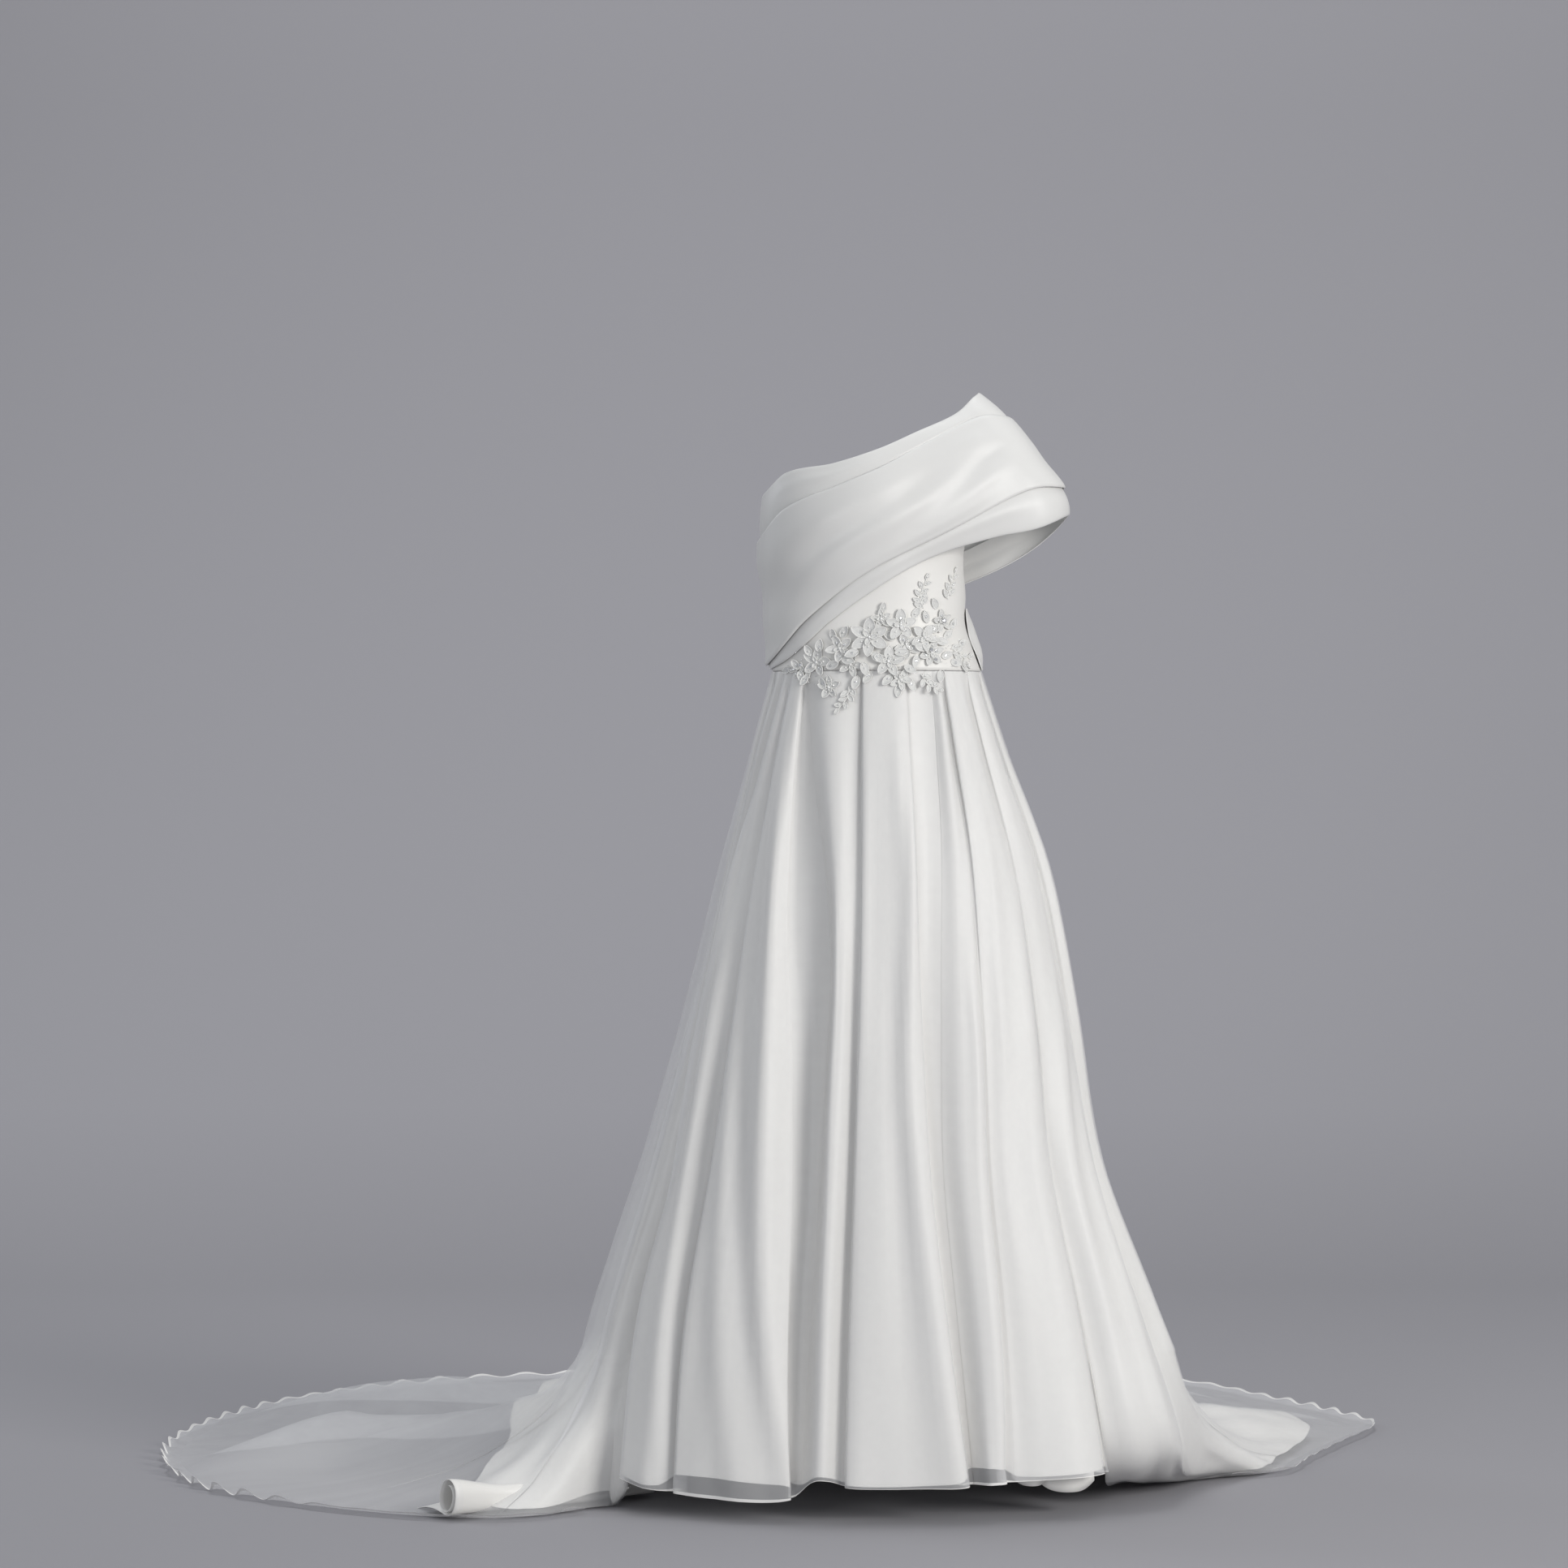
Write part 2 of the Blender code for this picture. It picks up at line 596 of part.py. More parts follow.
def lace_ground(x, z, across=0.0):
    """The outermost cloth at the front of the waist, as a point with the way out of it.

    The point is the one in front of X, moved by an arc across the body.
    """
    if z > 0:
        _, middle, wide, deep, _ = torso_at(z)
        near = max(0.0, 1.0 - z / 0.012)
    else:
        middle = 0.0
        wide, deep = (column(SKIRT_RINGS, "drop", name, -z) for name in ("right", "front"))
        near = 1.0
    wide, deep = wide + SEAM_STEP * near, deep + SEAM_STEP * near
    turn = math.asin(max(-1.0, min(1.0, (x - middle) / wide)))
    turn += across / math.hypot(wide * math.cos(turn), deep * math.sin(turn))
    out = Vector((math.sin(turn) / wide, -math.cos(turn) / deep, 0.0)).normalized()
    return Vector((middle + wide * math.sin(turn), -deep * math.cos(turn), z)), out


# Flowers: centre, radius to a petal's tip, petals, turn in degrees, and the layer they lie on.
Flower = namedtuple("Flower", "x z radius petals turn layer")
FLOWERS = (
    Flower(-0.0115, 0.0440, 0.0250, 6, 90, 1),
    Flower(0.0290, 0.0600, 0.0200, 5, 20, 1),
    Flower(0.0600, 0.0440, 0.0190, 5, 60, 1),
    Flower(0.0130, 0.0120, 0.0200, 5, 10, 1),
    Flower(-0.0490, 0.0290, 0.0180, 5, 40, 1),
    Flower(-0.0360, 0.0080, 0.0160, 5, 0, 0),
    Flower(-0.0800, 0.0110, 0.0190, 5, 75, 0),
    Flower(0.0850, 0.0660, 0.0150, 5, 30, 0),
    Flower(0.0700, 0.0240, 0.0180, 6, 15, 0),
    Flower(0.0380, 0.0320, 0.0170, 5, 50, 0),
    Flower(-0.0640, -0.0220, 0.0150, 5, 20, 0),
    Flower(0.0300, -0.0120, 0.0150, 5, 65, 0),
    Flower(0.0040, 0.0680, 0.0130, 5, 25, 0),
)
LACE_LAYER = 0.0030
PETAL_POINTS = 4


def flower(number, bloom):
    """A flower of pointed oval petals, cupped round a centre that is sewn down to the cloth."""
    mesh = bpy.data.meshes.new("lace_flower_{:02d}".format(number))
    build = bmesh.new()
    around = bloom.petals * PETAL_POINTS
    base = LACE_OUT + bloom.layer * LACE_LAYER

    def place(radius, turn, up):
        angle = math.radians(bloom.turn) + turn
        ground, out = lace_ground(bloom.x, bloom.z + radius * math.sin(angle), radius * math.cos(angle))
        return build.verts.new(ground + out * (base + up))

    middle = place(0.0, 0.0, LACE_SEAT - base)
    rings = []
    for share, up in ((0.42, 0.0006), (1.0, 0.0014)):
        ring = []
        for k in range(around):
            petal = abs(math.cos(math.pi * k / PETAL_POINTS))
            reach = mix(0.42, 1.0, petal ** 0.8) if share == 1.0 else 1.0
            ring.append(place(bloom.radius * share * reach, 2.0 * math.pi * k / around, up * reach))
        rings.append(ring)
    for k in range(around):
        n = (k + 1) % around
        build.faces.new((middle, rings[0][k], rings[0][n]))
        build.faces.new((rings[0][k], rings[1][k], rings[1][n]))
        build.faces.new((rings[0][k], rings[1][n], rings[0][n]))
    build.to_mesh(mesh)
    build.free()
    thicken(mesh.name, mesh, LACE_WALL, "lace", 1)


# Sprigs: a stem through these points, with leaves on both sides that shrink towards its tip.
Sprig = namedtuple("Sprig", "name path leaves leaf layer")
SPRIGS = (
    Sprig("upper_right", ((0.060, 0.082), (0.056, 0.098), (0.064, 0.122)), 4, 0.0080, 0),
    Sprig("far_right", ((0.092, 0.094), (0.096, 0.112), (0.103, 0.132)), 3, 0.0080, 0),
    Sprig("right", ((0.096, 0.030), (0.108, 0.024), (0.120, 0.010)), 3, 0.0080, 0),
    Sprig("low_right", ((0.056, -0.004), (0.066, -0.018), (0.080, -0.024)), 3, 0.0070, 0),
    Sprig("low_left", ((-0.090, -0.016), (-0.098, -0.004), (-0.112, 0.000)), 3, 0.0075, 0),
    Sprig("hanging", ((-0.038, -0.020), (-0.041, -0.036), (-0.053, -0.052)), 3, 0.0075, 0),
)
LEAF_POINTS = 4


def sprig(spray):
    """A stem whose width swells into a pair of pointed leaves at each step along it."""
    rows = []
    count = spray.leaves * LEAF_POINTS
    keys = [k / (len(spray.path) - 1) for k in range(len(spray.path))]
    for k in range(count + 1):
        at = k / count
        x, z = (smooth(keys, [point[axis] for point in spray.path], at) for axis in (0, 1))
        ahead = min(at + 0.02, 1.0)
        behind = ahead - 0.02
        dx, dz = (
            smooth(keys, [point[axis] for point in spray.path], ahead)
            - smooth(keys, [point[axis] for point in spray.path], behind)
            for axis in (0, 1)
        )
        length = math.hypot(dx, dz)
        swell = abs(math.sin(math.pi * k / LEAF_POINTS)) ** 0.7
        half = 0.0012 + spray.leaf * (1.0 - 0.35 * at) * swell
        line = []
        for side in (-1.0, 0.0, 1.0):
            ground, out = lace_ground(x, z + side * half * dx / length, -side * half * dz / length)
            up = LACE_OUT + spray.layer * LACE_LAYER + (0.0008 if side == 0.0 else 0.0)
            line.append(ground + out * up)
        rows.append(line)
    sheet("lace_sprig_" + spray.name, [row[::-1] for row in rows[::-1]], LACE_WALL, "lace", 1)


for old in list(bpy.data.objects):
    bpy.data.objects.remove(old)
dress = bpy.data.collections.new("wedding_dress")
bpy.context.scene.collection.children.link(dress)

bodice()
back_zip()
drape()
back_sash()
train_hems(skirt())
for index, bloom in enumerate(FLOWERS):
    flower(index + 1, bloom)
for spray in SPRIGS:
    sprig(spray)
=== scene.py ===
"""Looks of a one-shoulder wedding dress: satin, organza, lace, beads and studio light on its solids."""

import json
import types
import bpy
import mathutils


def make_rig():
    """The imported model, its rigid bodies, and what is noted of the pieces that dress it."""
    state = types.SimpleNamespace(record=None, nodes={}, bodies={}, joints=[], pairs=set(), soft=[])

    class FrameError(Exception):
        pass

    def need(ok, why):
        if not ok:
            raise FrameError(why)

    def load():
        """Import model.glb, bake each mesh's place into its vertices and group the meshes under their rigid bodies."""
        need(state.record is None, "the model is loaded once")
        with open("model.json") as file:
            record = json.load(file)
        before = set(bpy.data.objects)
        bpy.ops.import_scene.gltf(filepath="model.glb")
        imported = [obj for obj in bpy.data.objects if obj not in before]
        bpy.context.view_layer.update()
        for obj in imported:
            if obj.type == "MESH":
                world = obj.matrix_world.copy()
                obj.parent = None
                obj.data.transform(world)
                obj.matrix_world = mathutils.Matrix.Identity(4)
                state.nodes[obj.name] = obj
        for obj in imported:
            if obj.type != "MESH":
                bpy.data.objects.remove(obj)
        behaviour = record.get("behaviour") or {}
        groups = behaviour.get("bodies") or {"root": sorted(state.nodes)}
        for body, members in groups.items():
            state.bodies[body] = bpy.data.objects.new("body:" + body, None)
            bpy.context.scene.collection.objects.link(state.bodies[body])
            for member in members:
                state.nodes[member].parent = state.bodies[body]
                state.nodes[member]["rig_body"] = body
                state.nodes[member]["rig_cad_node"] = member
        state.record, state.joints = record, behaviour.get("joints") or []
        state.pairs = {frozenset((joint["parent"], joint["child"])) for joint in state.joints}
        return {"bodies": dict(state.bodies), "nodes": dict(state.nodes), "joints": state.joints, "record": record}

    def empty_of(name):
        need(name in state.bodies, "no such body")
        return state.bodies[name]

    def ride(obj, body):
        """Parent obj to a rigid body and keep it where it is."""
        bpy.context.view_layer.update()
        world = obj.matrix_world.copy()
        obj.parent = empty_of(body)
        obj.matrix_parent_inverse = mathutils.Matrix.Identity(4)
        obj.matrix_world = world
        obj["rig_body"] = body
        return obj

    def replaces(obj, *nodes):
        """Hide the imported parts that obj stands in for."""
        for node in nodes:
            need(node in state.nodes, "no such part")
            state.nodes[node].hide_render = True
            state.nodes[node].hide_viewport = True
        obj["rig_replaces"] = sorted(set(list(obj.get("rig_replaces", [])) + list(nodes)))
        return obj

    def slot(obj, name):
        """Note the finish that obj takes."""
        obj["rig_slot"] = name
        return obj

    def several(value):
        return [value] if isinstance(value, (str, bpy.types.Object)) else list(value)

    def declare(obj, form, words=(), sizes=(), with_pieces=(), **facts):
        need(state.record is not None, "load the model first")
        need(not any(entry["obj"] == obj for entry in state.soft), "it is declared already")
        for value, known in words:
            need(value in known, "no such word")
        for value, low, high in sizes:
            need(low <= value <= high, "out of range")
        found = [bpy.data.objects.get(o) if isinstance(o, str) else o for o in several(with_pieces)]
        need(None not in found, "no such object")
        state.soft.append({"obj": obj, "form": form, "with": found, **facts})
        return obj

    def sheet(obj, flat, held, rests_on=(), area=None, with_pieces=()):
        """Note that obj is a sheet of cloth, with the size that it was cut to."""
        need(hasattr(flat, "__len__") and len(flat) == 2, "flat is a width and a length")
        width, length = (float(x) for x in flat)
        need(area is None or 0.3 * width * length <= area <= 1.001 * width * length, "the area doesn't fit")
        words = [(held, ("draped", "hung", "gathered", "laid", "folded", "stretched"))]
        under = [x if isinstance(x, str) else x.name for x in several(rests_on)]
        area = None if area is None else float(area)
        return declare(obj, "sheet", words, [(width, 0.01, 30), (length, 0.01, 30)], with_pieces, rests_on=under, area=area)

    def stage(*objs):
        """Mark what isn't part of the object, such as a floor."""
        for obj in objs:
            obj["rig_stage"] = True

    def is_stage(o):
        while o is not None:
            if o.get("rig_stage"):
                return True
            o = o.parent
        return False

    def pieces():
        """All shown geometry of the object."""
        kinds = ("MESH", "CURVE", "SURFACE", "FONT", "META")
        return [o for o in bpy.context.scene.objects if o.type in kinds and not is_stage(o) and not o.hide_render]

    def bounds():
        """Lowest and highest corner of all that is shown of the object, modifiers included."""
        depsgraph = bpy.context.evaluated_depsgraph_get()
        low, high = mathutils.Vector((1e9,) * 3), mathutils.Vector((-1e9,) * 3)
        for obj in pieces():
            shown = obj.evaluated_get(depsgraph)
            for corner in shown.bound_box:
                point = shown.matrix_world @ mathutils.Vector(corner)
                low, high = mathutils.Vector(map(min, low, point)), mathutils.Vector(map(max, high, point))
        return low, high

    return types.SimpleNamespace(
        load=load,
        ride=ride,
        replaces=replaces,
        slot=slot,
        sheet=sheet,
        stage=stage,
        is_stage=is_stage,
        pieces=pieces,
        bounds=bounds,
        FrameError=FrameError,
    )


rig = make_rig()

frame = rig.load()

import bisect
import json
import math
import random
from collections import namedtuple

import bpy
from mathutils import Vector, noise

cad_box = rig.bounds()


# Studio: a pale grey floor that curves up into its backdrop, under soft light from large boxes.
# The camera stands 6.5 m in front of the dress, one metre above the floor, tilted down a little.

FLOOR = -1.10
VIEW_PLACE = (-0.1236, -6.5, -0.10)
VIEW_TILT = 0.44
VIEW_LENS = 111.67
BACKDROP_NEAR = -9.0
BACKDROP_FAR = 5.0
BACKDROP_BEND = 2.5
BACKDROP_TOP = 6.0
BACKDROP_HALF_WIDTH = 9.0
BACKDROP_DROP = 0.0005
BACKDROP_ARC_STEPS = 24
WALL_TONE_FROM = 0.25
BACKFACING = 6


class Wire:
    """A value among a material's nodes. Maths on it adds Math nodes, and make() adds any other node."""

    def __init__(self, tree, socket=None):
        self.tree = tree
        self.socket = socket

    def make(self, kind, settings=None, values=None, out=0):
        node = self.tree.nodes.new("ShaderNode" + kind)
        for name, value in (settings or {}).items():
            if name == "stops":
                for element, (place, colour) in zip(node.color_ramp.elements, value):
                    element.position = place
                    element.color = colour
            else:
                setattr(node, name, value)
        for name, value in (values or {}).items():
            if isinstance(value, Wire):
                self.tree.links.new(value.socket, node.inputs[name])
            else:
                node.inputs[name].default_value = value
        return Wire(self.tree, node.outputs[out])

    def maths(self, operation, *values):
        return self.make("Math", {"operation": operation}, dict(enumerate(values)))

    def __add__(self, other):
        return self.maths("ADD", self, other)

    __radd__ = __add__

    def __sub__(self, other):
        return self.maths("SUBTRACT", self, other)

    def __rsub__(self, other):
        return self.maths("SUBTRACT", other, self)

    def __mul__(self, other):
        return self.maths("MULTIPLY", self, other)

    __rmul__ = __mul__

    def blend(self, first, second):
        """A colour between two, by this value."""
        return self.make("Mix", {"data_type": "RGBA"}, {0: self, 6: first, 7: second}, out=2)


def finish(name, base, roughness, normal=None, alpha=None, **constants):
    """A material of one Principled shader. What varies comes as a Wire made by a function of the tree."""
    material = bpy.data.materials.new(name)
    material.use_nodes = True
    tree = material.node_tree
    shader = tree.nodes["Principled BSDF"]
    start = Wire(tree)
    varied = {"Base Color": base, "Roughness": roughness, "Normal": normal, "Alpha": alpha}
    for socket, value in varied.items():
        if callable(value):
            value = value(start)
        if isinstance(value, Wire):
            tree.links.new(value.socket, shader.inputs[socket])
        elif value is not None:
            shader.inputs[socket].default_value = value
    for socket, value in constants.items():
        shader.inputs[socket.replace("_", " ").title().replace("Ior", "IOR")].default_value = value
    return material


def backdrop_grey(start):
    """The paint, very slightly uneven, and a shade darker on the floor than up the wall."""
    mottle = start.make("TexNoise", None, {"Scale": 0.8, "Detail": 2.0})
    height = start.make("SeparateXYZ", None, {"Vector": start.make("NewGeometry")}, 2)
    span = {"Value": height, "From Min": FLOOR, "From Max": FLOOR + WALL_TONE_FROM}
    up = start.make("MapRange", None, span)
    floor = mottle.blend((0.317, 0.312, 0.334, 1.0), (0.327, 0.322, 0.344, 1.0))
    wall = mottle.blend((0.354, 0.349, 0.374, 1.0), (0.366, 0.361, 0.386, 1.0))
    return up.blend(floor, wall)


def seen_from_inside(start):
    """Clear from behind, so that a view from the back looks through the wall at the dress."""
    return 1.0 - start.make("NewGeometry", out=BACKFACING)


profile = [(BACKDROP_NEAR, FLOOR - BACKDROP_DROP)]
for k in range(BACKDROP_ARC_STEPS + 1):
    turn = math.pi / 2 * k / BACKDROP_ARC_STEPS
    profile.append((
        BACKDROP_FAR - BACKDROP_BEND + BACKDROP_BEND * math.sin(turn),
        FLOOR - BACKDROP_DROP + BACKDROP_BEND * (1.0 - math.cos(turn)),
    ))
profile.append((BACKDROP_FAR, BACKDROP_TOP))
backdrop_mesh = bpy.data.meshes.new("backdrop")
points = [(x, y, z) for y, z in profile for x in (-BACKDROP_HALF_WIDTH, BACKDROP_HALF_WIDTH)]
faces = [(2 * k, 2 * k + 1, 2 * k + 3, 2 * k + 2) for k in range(len(profile) - 1)]
backdrop_mesh.from_pydata(points, [], faces)
backdrop_mesh.shade_smooth()
backdrop = bpy.data.objects.new("backdrop", backdrop_mesh)
bpy.context.scene.collection.objects.link(backdrop)
backdrop_mesh.materials.append(finish("backdrop_paint", backdrop_grey, 0.85, alpha=seen_from_inside))
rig.stage(backdrop)

Softbox = namedtuple("Softbox", "name place aim size power colour")
SOFTBOXES = (
    Softbox("key_box", (3.60, -3.75, 1.15), (0.0, 0.0, -0.4), 1.9, 180.0, (1.0, 0.985, 0.955)),
    Softbox("front_box", (-2.6, -5.8, 0.3), (0.0, 0.0, -0.5), 1.6, 56.0, (0.96, 0.98, 1.0)),
    Softbox("top_box", (0.4, 0.6, 3.8), (0.0, 0.1, -0.4), 2.0, 20.0, (0.98, 0.99, 1.0)),
    Softbox("left_rim_box", (-3.6, 1.8, 1.6), (-0.2, 0.1, -0.4), 1.4, 26.0, (0.93, 0.96, 1.0)),
    Softbox("backdrop_box", (0.0, 1.2, 5.2), (0.0, 5.0, 1.6), 3.0, 95.0, (1.0, 1.0, 1.0)),
)
for box in SOFTBOXES:
    lamp = bpy.data.lights.new(box.name, "AREA")
    lamp.shape = "SQUARE"
    lamp.size = box.size
    lamp.energy = box.power
    lamp.color = box.colour
    light = bpy.data.objects.new(box.name, lamp)
    light.location = box.place
    light.rotation_euler = (Vector(box.aim) - Vector(box.place)).to_track_quat("-Z", "Y").to_euler()
    bpy.context.scene.collection.objects.link(light)

world = bpy.data.worlds.new("studio_air")
world.use_nodes = True
air = world.node_tree.nodes["Background"].inputs
air["Color"].default_value = (0.93, 0.96, 1.0, 1.0)
air["Strength"].default_value = 0.42
bpy.context.scene.world = world

eye = bpy.data.cameras.new("front_view")
eye.lens = VIEW_LENS
eye.sensor_width = 36.0
eye.clip_end = 60.0
camera = bpy.data.objects.new("front_view", eye)
camera.location = VIEW_PLACE
camera.rotation_euler = (math.radians(90.0 - VIEW_TILT), 0.0, 0.0)
bpy.context.scene.collection.objects.link(camera)
bpy.context.scene.camera = camera
bpy.context.scene.view_settings.view_transform = "Standard"


# Underbodice: plain ivory satin cut in a front and two back panels, closed at the middle of the back.
# It is fitted to the ribs, boned inside, and its top edge dips at the underarms.

SATIN_WHITE = (0.800, 0.790, 0.768, 1.0)
SATIN_DEEP = (0.770, 0.757, 0.728, 1.0)
SATIN_THREADS = 2600.0

Torso = namedtuple("Torso", "rise middle wide front back")
TORSO_RINGS = (
    Torso(0.000, 0.0000, 0.1400, 0.1040, 0.0990),
    Torso(0.030, -0.0040, 0.1330, 0.1000, 0.0950),
    Torso(0.065, -0.0100, 0.1285, 0.0980, 0.0920),
    Torso(0.102, -0.0100, 0.1290, 0.1000, 0.0920),
    Torso(0.146, -0.0160, 0.1320, 0.1080, 0.0950),
    Torso(0.195, -0.0150, 0.1350, 0.1140, 0.0990),
    Torso(0.240, -0.0140, 0.1350, 0.1090, 0.1030),
    Torso(0.290, -0.0080, 0.1420, 0.0930, 0.1020),
    Torso(0.330, 0.0000, 0.1420, 0.0700, 0.0860),
    Torso(0.373, 0.0100, 0.1150, 0.0250, 0.0350),
)
TOP_ANGLES = (-90, -55, -20, 0, 20, 50, 90)
FRONT_TOP = (0.205, 0.232, 0.226, 0.215, 0.222, 0.222, 0.172)
BACK_TOP = (0.172, 0.165, 0.160, 0.160, 0.165, 0.180, 0.205)
BODICE_BOTTOM = 0.0007
BODICE_WALL = 0.0012
BODICE_ROWS = 36
BODICE_COLUMN_DEGREES = 3


def smooth(keys, values, at):
    """The value at a place along a table, on a cubic through its rows."""
    if at <= keys[0]:
        return values[0]
    if at >= keys[-1]:
        return values[-1]
    i = bisect.bisect_right(keys, at) - 1
    low, high = max(i - 1, 0), min(i + 2, len(keys) - 1)
    span = keys[i + 1] - keys[i]
    start = (values[i + 1] - values[low]) / (keys[i + 1] - keys[low]) * span
    end = (values[high] - values[i]) / (keys[high] - keys[i]) * span
    t = (at - keys[i]) / span
    rise = values[i + 1] - values[i]
    return values[i] + t * (start + t * ((3 * rise - 2 * start - end) + t * (start + end - 2 * rise)))


tables = {}


def column(rows, key, name, at):
    """The same for one named column of a table of named tuples, whose rows are in order of their key."""
    known = tables.get((id(rows), name))
    if known is None:
        known = ([getattr(row, key) for row in rows], [getattr(row, name) for row in rows])
        tables[(id(rows), name)] = known
    return smooth(*known, at)


def mix(start, end, part):
    return start + (end - start) * part


def ease(low, high, at):
    part = max(0.0, min(1.0, (at - low) / (high - low)))
    return part * part * (3.0 - 2.0 * part)


def steps(count):
    return [k / count for k in range(count + 1)]


def weave(start, threads, strength):
    """Fine crossed threads, from the cloth's own lengths in metres, as a bump."""
    place = start.make("UVMap")
    spread = place.make("VectorMath", {"operation": "SCALE"}, {0: place, "Scale": threads})
    wave = {"Vector": spread, "Scale": 0.32, "Distortion": 0.6}
    warp, weft = (start.make("TexWave", {"bands_direction": way}, wave, 1) for way in "XY")
    slub = start.make("TexNoise", None, {"Vector": place, "Scale": 45.0, "Detail": 3.0})
    height = warp * 0.45 + weft * 0.35 + slub * 0.6
    return start.make("Bump", None, {"Strength": strength, "Distance": 0.0004, "Height": height})


def satin_cloud(start):
    place = start.make("UVMap")
    return start.make("TexNoise", None, {"Vector": place, "Scale": 5.0, "Detail": 4.0, "Roughness": 0.6})


def satin_colour(start):
    """Ivory white that deepens a little and unevenly, as a heavy satin does."""
    return satin_cloud(start).blend(SATIN_WHITE, SATIN_DEEP)


def satin_gloss(start):
    place = start.make("UVMap")
    streak = start.make("Mapping", None, {"Vector": place, "Scale": (60.0, 6.0, 1.0)})
    return start.make("TexNoise", None, {"Vector": streak, "Scale": 1.0, "Detail": 2.0}) * 0.10 + 0.36


def satin_finish(name, colour):
    return finish(
        name,
        colour,
        satin_gloss,
        normal=lambda start: weave(start, SATIN_THREADS, 0.10),
        sheen_weight=0.12,
        sheen_roughness=0.35,
        specular_ior_level=0.45,
    )


satin = satin_finish("ivory_satin", satin_colour)


def cloth(name, rows, materials, replaced, slot, wall=0.0, edge_rows=0):
    """A sheet of quads from rows of points, top to bottom, mapped by its own lengths in metres.

    Its last rows, where edge_rows says so, take the second material.
    """
    mesh = bpy.data.meshes.new(name)
    wide, count = len(rows[0]), len(rows)
    faces = [
        (i * wide + j, (i + 1) * wide + j, (i + 1) * wide + j + 1, i * wide + j + 1)
        for i in range(count - 1)
        for j in range(wide - 1)
    ]
    mesh.from_pydata([point for row in rows for point in row], [], faces)
    across = [0.0]
    widest = max(rows, key=lambda row: sum((a - b).length for a, b in zip(row, row[1:])))
    for a, b in zip(widest, widest[1:]):
        across.append(across[-1] + (b - a).length)
    down = [0.0]
    for above, below in zip(rows, rows[1:]):
        down.append(down[-1] + (below[wide // 2] - above[wide // 2]).length)
    mapping = mesh.uv_layers.new(name="UVMap").data
    for loop in mesh.loops:
        i, j = divmod(loop.vertex_index, wide)
        mapping[loop.index].uv = (across[j], -down[i])
    for material in materials:
        mesh.materials.append(material)
    if edge_rows:
        for polygon in mesh.polygons:
            if polygon.index // (wide - 1) >= count - 1 - edge_rows:
                polygon.material_index = 1
    mesh.shade_smooth()
    piece = bpy.data.objects.new(name, mesh)
    bpy.context.scene.collection.objects.link(piece)
    if wall:
        solid = piece.modifiers.new("thickness of the cloth", "SOLIDIFY")
        solid.thickness = wall
        solid.offset = -1
    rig.ride(piece, "root")
    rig.slot(piece, slot)
    if replaced:
        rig.replaces(piece, *replaced)
    return piece


def cut(rows):
    """The width and length that a sheet of rows was cut to, and its area."""
    width = max(sum((a - b).length for a, b in zip(row, row[1:])) for row in rows)
    length = max(
        sum((rows[i][j] - rows[i + 1][j]).length for i in range(len(rows) - 1))
        for j in range(0, len(rows[0]), 4)
    )
    flat = (round(width, 2), round(length, 2))
    area = 0.0
    for above, below in zip(rows, rows[1:]):
        for j in range(len(above) - 1):
            area += (above[j + 1] - below[j]).cross(above[j] - below[j + 1]).length / 2.0
    return {"flat": flat, "area": min(round(area, 3), flat[0] * flat[1])}


def torso_at(rise):
    return Torso(rise, *(column(TORSO_RINGS, "rise", name, rise) for name in Torso._fields[1:]))


def torso_point(angle, rise, out=0.0):
    ring = torso_at(rise)
    turn = math.radians(angle)
    deep = ring.front if math.cos(turn) > 0 else ring.back
    x = ring.middle + (ring.wide + out) * math.sin(turn)
    return Vector((x, -(deep + out) * math.cos(turn), rise))


for name, facing, tops, first, last in (
    ("front", 0, FRONT_TOP, -90, 90),
    ("back_right", 180, BACK_TOP, -90, 0),
    ("back_left", 180, BACK_TOP, 0, 90),
):
    rows = []
    for step in steps(BODICE_ROWS):
        row = []
        for k in range((last - first) // BODICE_COLUMN_DEGREES + 1):
            angle = first + BODICE_COLUMN_DEGREES * k
            rise = mix(smooth(TOP_ANGLES, tops, angle), BODICE_BOTTOM, step)
            row.append(torso_point(facing + angle, rise))
        rows.append(row)
    panel = cloth("bodice_panel_" + name, rows, [satin], ["bodice_" + name], "satin", wall=BODICE_WALL)
    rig.sheet(panel, held="stretched", **cut(rows))


# Back zip: a concealed zip with woven tapes and fine coil teeth, closed from waist to top edge.
# It is sewn inside the middle back seam, so it shows only from within.

ZIP_HALF_WIDTH = 0.007
ZIP_TOP = 0.155
ZIP_INSIDE = 0.0027
ZIP_ROWS = 60
ZIP_GROOVE = 0.0008
TOOTH_PITCH = 0.0015
FIRST_TOOTH = 0.002
TOOTH_STAGGER = 0.0006
TOOTH_INSIDE = 0.0018
TOOTH_RADIUS = 0.0005
TOOTH_SIDES = 6
TOOTH_PROFILE = ((-0.0016, 0.5), (-0.0008, 1.0), (0.0008, 1.0), (0.0016, 0.5))

zip_tape = finish(
    "woven_tape",
    (0.74, 0.73, 0.70, 1.0),
    0.7,
    normal=lambda start: weave(start, 1400.0, 0.25),
)
rows = []
for step in steps(ZIP_ROWS):
    rise = mix(ZIP_TOP, BODICE_BOTTOM, step)
    line = []
    for share in (-1.0, -0.6, -0.2, 0.0, 0.2, 0.6, 1.0):
        angle = 180.0 + math.degrees(share * ZIP_HALF_WIDTH / torso_at(rise).wide)
        line.append(torso_point(angle, rise, -ZIP_INSIDE - ZIP_GROOVE * (abs(share) < 0.3)))
    rows.append(line)
tape = cloth("zip_tapes", rows, [zip_tape], ["back_zip"], "zip")
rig.sheet(tape, held="stretched", **cut(rows))

